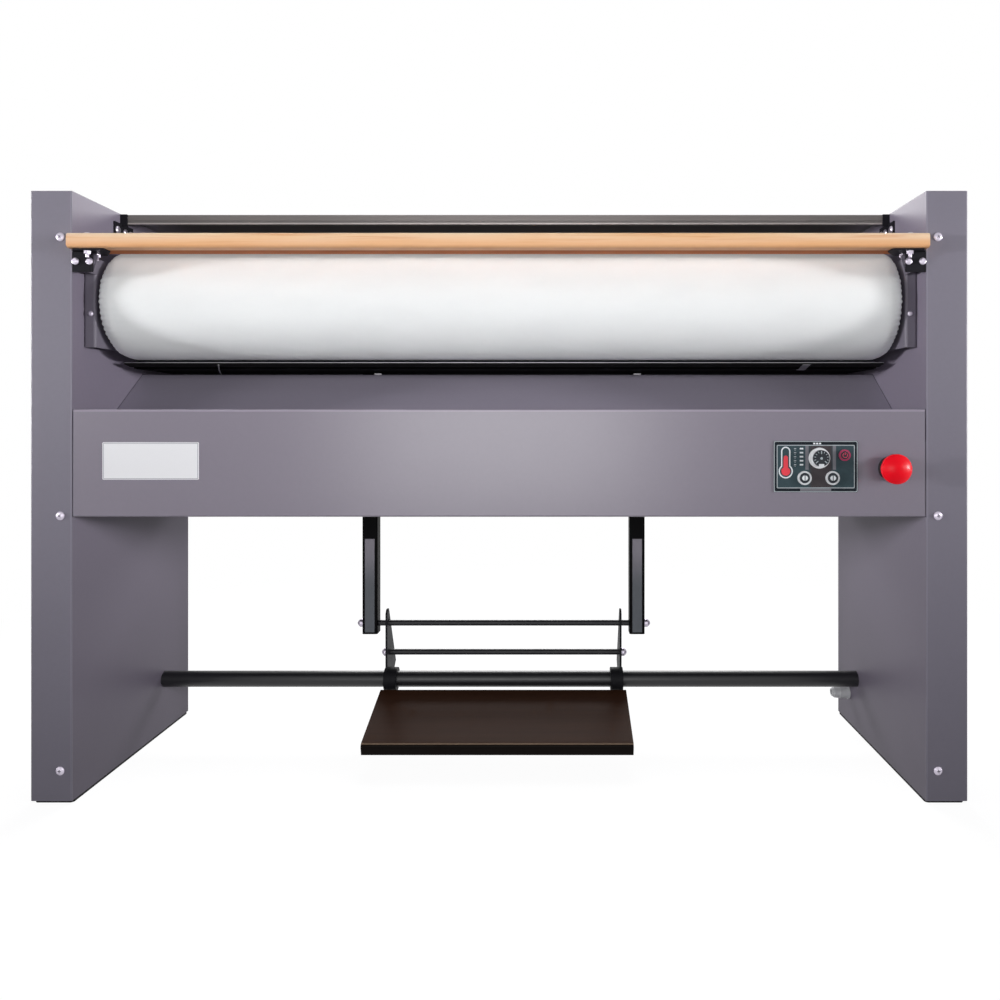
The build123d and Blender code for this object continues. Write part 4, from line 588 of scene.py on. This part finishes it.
dress(
    bare_steel("turned_steel", srgb(172, 172, 176), 0.28, ROUND_X),
    "roller_shaft", "pivot_shaft", "motor_shaft", "roller_end_discs",
)
dress(bare_steel("drawn_drum", srgb(150, 150, 154), 0.4, ALONG_X), "roller_drum")
dress(
    bare_steel("oiled_steel", srgb(96, 94, 92), 0.34),
    "roller_sprocket", "motor_sprocket", "drive_chain",
)
dress(bare_steel("heater_steel", srgb(112, 98, 88), 0.5, ALONG_X), "heating_elements")
dress(
    bare_steel("strap_steel", srgb(150, 148, 152), 0.45, ALONG_STRAP),
    "trough_straps", "chute_clips",
)
dress(bare_steel("bush_bronze", srgb(176, 134, 78), 0.35), "pivot_bushes")
dress(
    bright_zinc(),
    "dome_screws", "frame_bolts", "guard_screws", "guard_bolts", "arm_bolts", "link_rod_nuts",
    "tie_rod_nuts",
)
cloth = ironing_cloth()
dress(cloth, "roller_padding")
dress(mineral_wool(), "insulation")
dress(lacquered_board(), "guard_board")
dress(dark_stained_board(), "pedal_board")
dress(moulded("foot_rubber", srgb(22, 22, 23), 0.75, grain=0.0001), "base_strips")
dress(moulded("gland_plastic", srgb(206, 207, 210), 0.5), "cable_gland")
dress(moulded("switch_plastic", srgb(28, 28, 30), 0.5), "switch_blocks", "estop_collar")
dress(
    moulded("button_plastic", srgb(36, 42, 50), 0.3, coat=0.3),
    "left_button", "right_button", "power_button",
)
dress(
    moulded("stop_red", srgb(250, 2, 30), 0.34, grain=0.00001, dark=0.96),
    "estop_head", "estop_stem",
)
dress(control_film(), "control_plate")
dress(bezel_plastic(), "button_bezels")
dress(knob_plastic(), "temperature_knob")

white_ink = ink("white_ink", srgb(226, 230, 234))
pale_ink = ink("pale_ink", srgb(168, 176, 182))
grey_ink = ink("grey_ink", srgb(112, 112, 120))
red_ink = ink("red_ink", srgb(232, 62, 76))
power_ink = ink("power_ink", srgb(222, 56, 96))
plate_white = ink("plate_white", srgb(240, 240, 244), 0.3, 0.015)
plate_rim = ink("plate_rim", srgb(168, 168, 178), 0.35)
# Painted shade for the screws' cross recesses.
recess_shade = moulded("recess_shade", srgb(96, 92, 104), 0.5)


# Roller cloth ----------------------------------------------------------------------------

# Pleats at the roller's ends: how many, how far in they reach, how deep they are and how far they
# pull the edge in. Creases along the length: how many, how deep they are and where they stop.
PLEATS = 58
PLEAT_LONG = 0.034
PLEAT_DEEP = 0.0024
PLEAT_PULL = 0.0012
CREASES = 9
CREASE_DEEP = 0.00025
CREASE_STOP = 0.02
pleat_lean = [draw.uniform(-0.35, 0.35) for _ in range(PLEATS)]
pleat_depth = [draw.uniform(0.5, 1.0) for _ in range(PLEATS)]
creases = [
    (draw.uniform(0, math.tau), draw.uniform(1.2, 4.0), draw.uniform(0, 6)) for _ in range(CREASES)
]

# The cloth's section on one side: places along the straight run, the round at the roller's end,
# the edge tucked in there as distances in from the end and radii, and places along the bore.
STRAIGHT_X = (0.0, 0.2, 0.4, 0.55, 0.64)
RUN_STEPS = 10
ROUND_LONG, ROUND_DEEP = 0.026, 0.0125
ROUND_STEPS = 12
TUCK = (
    (0.0002, 0.0850), (0.0008, 0.0825), (0.0018, 0.0810), (0.0026, 0.0815), (0.0027, 0.0850),
    (0.0027, CLOTH_BORE_R),
)
BORE_X = (0.6, 0.3)


def piece(name, mesh, finishes, body, smooth=False):
    """A named object from a bmesh, riding on a body."""
    data = bpy.data.meshes.new(name)
    bmesh.ops.recalc_face_normals(mesh, faces=mesh.faces)
    mesh.to_mesh(data)
    mesh.free()
    for finish in finishes:
        data.materials.append(finish.material)
    for face in data.polygons:
        face.use_smooth = smooth
    made = bpy.data.objects.new(name, data)
    bpy.context.scene.collection.objects.link(made)
    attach(made, body)
    return made


def band(mesh, ring, other, ink=0):
    """Faces between two closed rings with as many points."""
    for k in range(len(ring)):
        n = (k + 1) % len(ring)
        mesh.faces.new((ring[k], ring[n], other[n], other[k])).material_index = ink


def gathered(x, radius, angle):
    """The cloth's soft surface: pleats drawn in at the ends and faint creases along the length."""
    side = abs(x)
    near_end = max(0.0, min(1.0, (side - (ROLLER_HALF - PLEAT_LONG)) / PLEAT_LONG))
    place = angle / math.tau * PLEATS
    index = int(place) % PLEATS
    across = place - int(place)
    across += pleat_lean[index] * 0.25 * math.sin(math.pi * across)
    fold = (0.5 - 0.5 * math.cos(math.tau * across)) * pleat_depth[index]
    if radius > DRUM_R * 0.5:
        radius -= near_end**2 * PLEAT_DEEP * (1 - fold)
        x -= math.copysign(near_end**3 * PLEAT_PULL * (1 - fold), x)
    if side < ROLLER_HALF - CREASE_STOP and radius > DRUM_R + 0.005:
        for start, waves, phase in creases:
            lobe = max(0.0, math.cos(angle - start)) ** 40
            radius -= CREASE_DEEP * lobe * (0.5 + 0.5 * math.sin(x * waves * 9 + phase))
    return x, radius


def spun(mesh, profile, steps, shape):
    """A closed profile of (x, radius) carried round the roller's axis; shape bends each point."""
    rings = []
    for step in range(steps):
        angle = math.tau * step / steps
        ring = []
        for place in profile:
            x, radius = shape(*place, angle)
            y = ROLLER_Y + radius * math.cos(angle)
            z = ROLLER_Z + radius * math.sin(angle)
            ring.append(mesh.verts.new((x, y, z)))
        rings.append(ring)
    for here, after in zip(rings, rings[1:] + rings[:1]):
        band(mesh, here, after)


def roller_cloth():
    """The padded cloth round the drum, drawn in over its ends."""
    side = []
    for start, end in zip(STRAIGHT_X, STRAIGHT_X[1:]):
        for step in range(RUN_STEPS):
            side.append((start + (end - start) * step / RUN_STEPS, ROLLER_R))
    side.append((STRAIGHT_X[-1], ROLLER_R))
    for step in range(ROUND_STEPS + 1):
        turn = math.pi / 2 * step / ROUND_STEPS
        x = ROLLER_HALF - ROUND_LONG + ROUND_LONG * math.sin(turn)
        side.append((x, ROLLER_R - ROUND_DEEP + ROUND_DEEP * math.cos(turn)))
    side += [(ROLLER_HALF - inward, radius) for inward, radius in TUCK]
    side += [(x, CLOTH_BORE_R) for x in BORE_X]
    other_side = [(-x, radius) for x, radius in reversed(side[1:])]
    mesh = bmesh.new()
    spun(mesh, side + [(0.0, CLOTH_BORE_R)] + other_side, PLEATS * 6, gathered)
    made = piece("roller_cloth", mesh, [cloth], "roller", smooth=True)
    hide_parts("roller_padding")


# Marks on the controls, name plate and screws --------------------------------------------


def flat(mesh, outline, face, high, sunk=0.0, ink=0, hole=()):
    """A flat shape on a face that looks forward at this Y: how high it stands out of it and how
    deep it is sunk in it. A hole has as many points (x, z) as the outline."""
    front, back = face - high / 1000, face + sunk / 1000
    rings = [
        [[mesh.verts.new((x / 1000, y, z / 1000)) for x, z in points] for y in (front, back)]
        for points in ([outline, hole] if hole else [outline])
    ]
    for level in zip(*rings):
        if hole:
            band(mesh, *level, ink)
        else:
            mesh.faces.new(*level).material_index = ink
    for front_ring, back_ring in rings:
        band(mesh, front_ring, back_ring, ink)


def circle(x, z, radius, count, start=0, end=360):
    """Points on a circle, clockwise from the top; an arc where the degrees don't go all round."""
    steps = count if end - start == 360 else count - 1
    turns = [math.radians(start + (end - start) * k / steps) for k in range(count)]
    return [(x + radius * math.sin(turn), z + radius * math.cos(turn)) for turn in turns]


def rounded(x, z, wide, tall, corner):
    """A rounded rectangle's points round its middle."""
    points = []
    for sx, sz, start in ((1, 1, 0), (1, -1, 90), (-1, -1, 180), (-1, 1, 270)):
        cx, cz = x + sx * (wide / 2 - corner), z + sz * (tall / 2 - corner)
        points += circle(cx, cz, corner, 6, start, start + 90)
    return points


def bar(x, z, wide, tall):
    """A rectangle's points round its middle."""
    left, right, foot, top = x - wide / 2, x + wide / 2, z - tall / 2, z + tall / 2
    return [(left, foot), (right, foot), (right, top), (left, top)]


def thermometer(bulb, stem, end_z, gap, bulb_points, stem_points):
    """A round bulb, open at the top by gap degrees either side, and a stem with a round end."""
    points = circle(BULB_X, BULB_Z, bulb, bulb_points, gap, 360 - gap)
    return points + circle(BULB_X, end_z, stem, stem_points, -90, 90)


def control_marks():
    """The print on the control plate: frame lines, the thermometer, its scale and the guide bars.
    Where two of them meet, the upper one stands a little higher."""
    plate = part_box("control_plate")[0][1]
    mesh = bmesh.new()
    white, pale, grey, red = range(4)

    def mark(ink, high, outline, hole=()):
        """Ink that stands this high on the plate."""
        flat(mesh, outline, plate, high, 0.0, ink, hole)

    for wide, tall, corner, line in ((143.4, 87.4, 2.8, 1.3), (133.6, 74.4, 2.0, 1.5)):
        hole = rounded(PRINT_X, PRINT_Z, wide - 2 * line, tall - 2 * line, corner - 0.6)
        mark(pale, 0.12, rounded(PRINT_X, PRINT_Z, wide, tall, corner), hole)
    mark(grey, 0.18, bar(PRINT_X - 0.2, PRINT_Z - 39.6, 53, 4.2))
    glass = thermometer(12.2, 8.0, STEM_END_Z, 41, 28, 12)
    mark(white, 0.16, glass, thermometer(10.0, 5.8, STEM_END_Z, 36, 28, 12))
    mark(red, 0.14, thermometer(7.6, 3.8, COLUMN_END_Z, 31, 24, 8))
    for row in range(SCALE_ROWS):
        z = SCALE_TOP_Z - row * SCALE_STEP
        mark(pale, 0.12, bar(SCALE_LINES_X, z, 3.8, 1.7))
        mark(pale, 0.12, bar(SCALE_LINES_X, z - 2.7, 2.2, 0.8))
        mark(white, 0.12, bar(SCALE_BLOCKS_X, z, 6.0, 2.7))
    for x in GUIDE_BARS_X:
        mark(grey, 0.09, bar(x, GUIDE_BARS_Z, 5.6, 41.0))
    for x in BLOCKS_X:
        mark(white, 0.15, bar(x, BLOCKS_Z, 3.6, 2.8))
    inks = [white_ink, pale_ink, grey_ink, red_ink]
    piece("control_marks", mesh, inks, "root")


def button_marks(node, x):
    """Two blunt arrowheads back to back, on a push button's face."""
    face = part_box(node)[0][1]
    half = [(0.7, 4.4), (2.8, 3.8), (5.0, 1.4), (5.0, -1.4), (2.8, -3.8), (0.7, -4.4)]
    mesh = bmesh.new()
    for side in (-1, 1):
        flat(mesh, [(x + side * out, BUTTON_Z + up) for out, up in half], face, 0.1, SUNK)
    piece(node + "_marks", mesh, [white_ink], node)


def power_marks():
    """The power sign: an open ring and a bar."""
    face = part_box("power_button")[0][1]
    mesh = bmesh.new()
    outer, inner = (circle(POWER_X, POWER_Z, radius, 24, 38, 322) for radius in (4.5, 3.4))
    flat(mesh, outer + inner[::-1], face, 0.1, SUNK)
    flat(mesh, bar(POWER_X, POWER_Z + 3.0, 1.1, 4.6), face, 0.12, SUNK)
    piece("power_button_marks", mesh, [power_ink], "power_button")


def dial_marks():
    """The ticks round the dial, every fifth one long, its pointer block and its centre."""
    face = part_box("temperature_knob")[0][1]
    mesh = bmesh.new()
    white, pale = range(2)
    for tick in range(DIAL_TICKS):
        near, half = (7.4, 0.75) if tick % 5 == 0 else (9.6, 0.5)
        far = 12.6
        turn = math.radians(FIRST_TICK + TICK_STEP * tick)
        ux, uz = math.sin(turn), math.cos(turn)
        corners = ((near, half), (far, half), (far, -half), (near, -half))
        points = [(DIAL_X + ux * a + uz * b, DIAL_Z + uz * a - ux * b) for a, b in corners]
        flat(mesh, points, face, 0.12, SUNK, pale)
    flat(mesh, rounded(DIAL_X, DIAL_Z - 11.6, 9.0, 4.4, 1.2), face, 0.35, SUNK, white)
    flat(mesh, circle(DIAL_X, DIAL_Z, 2.2, 20), face, 0.2, SUNK, pale)
    piece("dial_marks", mesh, [white_ink, pale_ink], "temperature_knob")


def plain_plate():
    """The bare white plate on the front panel, with a bevelled edge and a thin grey border."""
    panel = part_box("front_panel")[0][1]
    plate = panel - PLATE_THICK / 1000
    mesh = bmesh.new()
    flat(mesh, rounded(PLATE_X, PLATE_Z, PLATE_WIDE, PLATE_TALL, 1.6), panel, PLATE_THICK)
    rim = [edge for edge in mesh.edges if all(abs(v.co.y - plate) < 1e-6 for v in edge.verts)]
    bmesh.ops.bevel(mesh, geom=rim, offset=0.0004, segments=2, affect="EDGES")
    border = rounded(PLATE_X, PLATE_Z, PLATE_WIDE - 2.4, PLATE_TALL - 2.4, 1.2)
    inner = rounded(PLATE_X, PLATE_Z, PLATE_WIDE - 4.4, PLATE_TALL - 4.4, 1.0)
    flat(mesh, border, plate, 0.06, SUNK, 1, inner)
    piece("plain_plate", mesh, [plate_white, plate_rim], "root")


def screw_crosses():
    """Painted shade for the cross recesses of the cabinets' front screws: dark crosses set into the
    heads.
    """
    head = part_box("dome_screws")[0][1]
    mesh = bmesh.new()
    for side in (-1, 1):
        for z in SCREW_HEIGHTS:
            tilt = draw.uniform(0, math.pi / 2)
            for turn in (tilt, tilt + math.pi / 2):
                ux, uz = math.cos(turn), math.sin(turn)
                points = [
                    (side * SCREW_X + ux * a - uz * b, z + uz * a + ux * b)
                    for a, b in bar(0.0, 0.0, 6.0, 1.3)
                ]
                flat(mesh, points, head, 0.04, 1.2)
    piece("screw_crosses", mesh, [recess_shade], "root")


roller_cloth()
control_marks()
button_marks("left_button", LEFT_BUTTON_X)
button_marks("right_button", RIGHT_BUTTON_X)
power_marks()
dial_marks()
plain_plate()
screw_crosses()


# Floor, light and camera -----------------------------------------------------------------

FLOOR_HALF = 30.0
SHADOW_NEAR, SHADOW_FAR = 0.9, 2.0
AMBIENT = 0.12


def pale_floor():
    """A pale floor: plain white to the eye and in reflections but for the soft shadow near it."""
    mesh = bmesh.new()
    bmesh.ops.create_grid(mesh, x_segments=24, y_segments=24, size=FLOOR_HALF)
    data = bpy.data.meshes.new("pale_floor")
    mesh.to_mesh(data)
    mesh.free()
    floor = bpy.data.objects.new("pale_floor", data)
    bpy.context.scene.collection.objects.link(floor)
    finish = Finish("pale_floor", Roughness=0.9, Specular_IOR_Level=0.1)
    speck = finish.noise(60.0, 3.0)
    finish.feed("Base Color", finish.mix(speck, srgb(96, 96, 98), srgb(104, 104, 106)))
    away = distance(finish.axis(X), finish.axis(Y)).above(SHADOW_NEAR, SHADOW_FAR)
    white = finish.node("Emission", {}, WHITE, 1.0)
    glow = finish.node("Emission", {}, WHITE, 0.94)
    near = finish.node("AddShader", {}, finish.surface, glow)
    shown = finish.node("MixShader", {}, away, near, white)
    finish.show(finish.node("MixShader", {}, finish.seen(), finish.surface, shown))
    data.materials.append(finish.material)


def studio_walls():
    """Even dim studio light, and plain white where the eye, a reflection or clear plastic looks."""
    world = bpy.data.worlds.new("studio")
    bpy.context.scene.world = world
    walls = Nodes(world, "World")
    dim = walls.node("Background", {}, (0.96, 0.97, 1.0, 1.0), AMBIENT)
    white = walls.node("Background", {}, WHITE, 1.0)
    walls.show(walls.node("MixShader", {}, walls.seen(), dim, white))


def soft_box(name, place, target, size, watts, fan=180):
    """A rectangular lamp turned towards a target; fan is how wide it sends its light."""
    light = bpy.data.lights.new(name, "AREA")
    light.shape = "RECTANGLE"
    light.size, light.size_y = size
    light.energy = watts
    light.spread = math.radians(fan)
    lamp = bpy.data.objects.new(name, light)
    lamp.location = place
    lamp.rotation_mode = "QUATERNION"
    lamp.rotation_quaternion = (Vector(target) - Vector(place)).to_track_quat("-Z", "Y")
    bpy.context.scene.collection.objects.link(lamp)


def studio_light():
    """Soft boxes at either side for the machine and its walls, one by the camera, one overhead
    and one behind."""
    for side, name in ((-1, "left"), (1, "right")):
        soft_box(
            "key_" + name, (side * 3.4, -2.5, 1.08), (-side * 0.4, 0, 0.95), (1.0, 0.4), 3.8, 70
        )
        soft_box(
            "wall_" + name, (side * 4.5, -1.35, 0.92), (-side * 0.7, 0, 1.08), (0.5, 0.4), 5.0, 30
        )
    soft_box("camera_fill", (-0.15, -2.4, 0.68), (0, 0, 0.8), (1.3, 0.8), 6.2, 110)
    soft_box("overhead", (0, 0.4, 3.4), (0, 0, 0.8), (2.6, 1.4), 18)
    soft_box("behind", (0, 3.4, 2.3), (0, 0.2, 0.6), (3.0, 1.2), 105)


def photo_camera():
    """The photograph's camera: level and square on, with its lens shifted."""
    data = bpy.data.cameras.new("photo_camera")
    data.sensor_width = 36.0
    data.lens = 28.09
    data.shift_x = -0.058
    data.shift_y = -0.0772
    data.clip_start, data.clip_end = 0.05, 100.0
    camera = bpy.data.objects.new("photo_camera", data)
    camera.location = (0.1009, -1.5279, 0.6524)
    camera.rotation_euler = (math.radians(90), 0, 0)
    bpy.context.scene.collection.objects.link(camera)
    bpy.context.scene.camera = camera


pale_floor()
studio_walls()
studio_light()
photo_camera()
bpy.context.scene.view_settings.view_transform = "Standard"
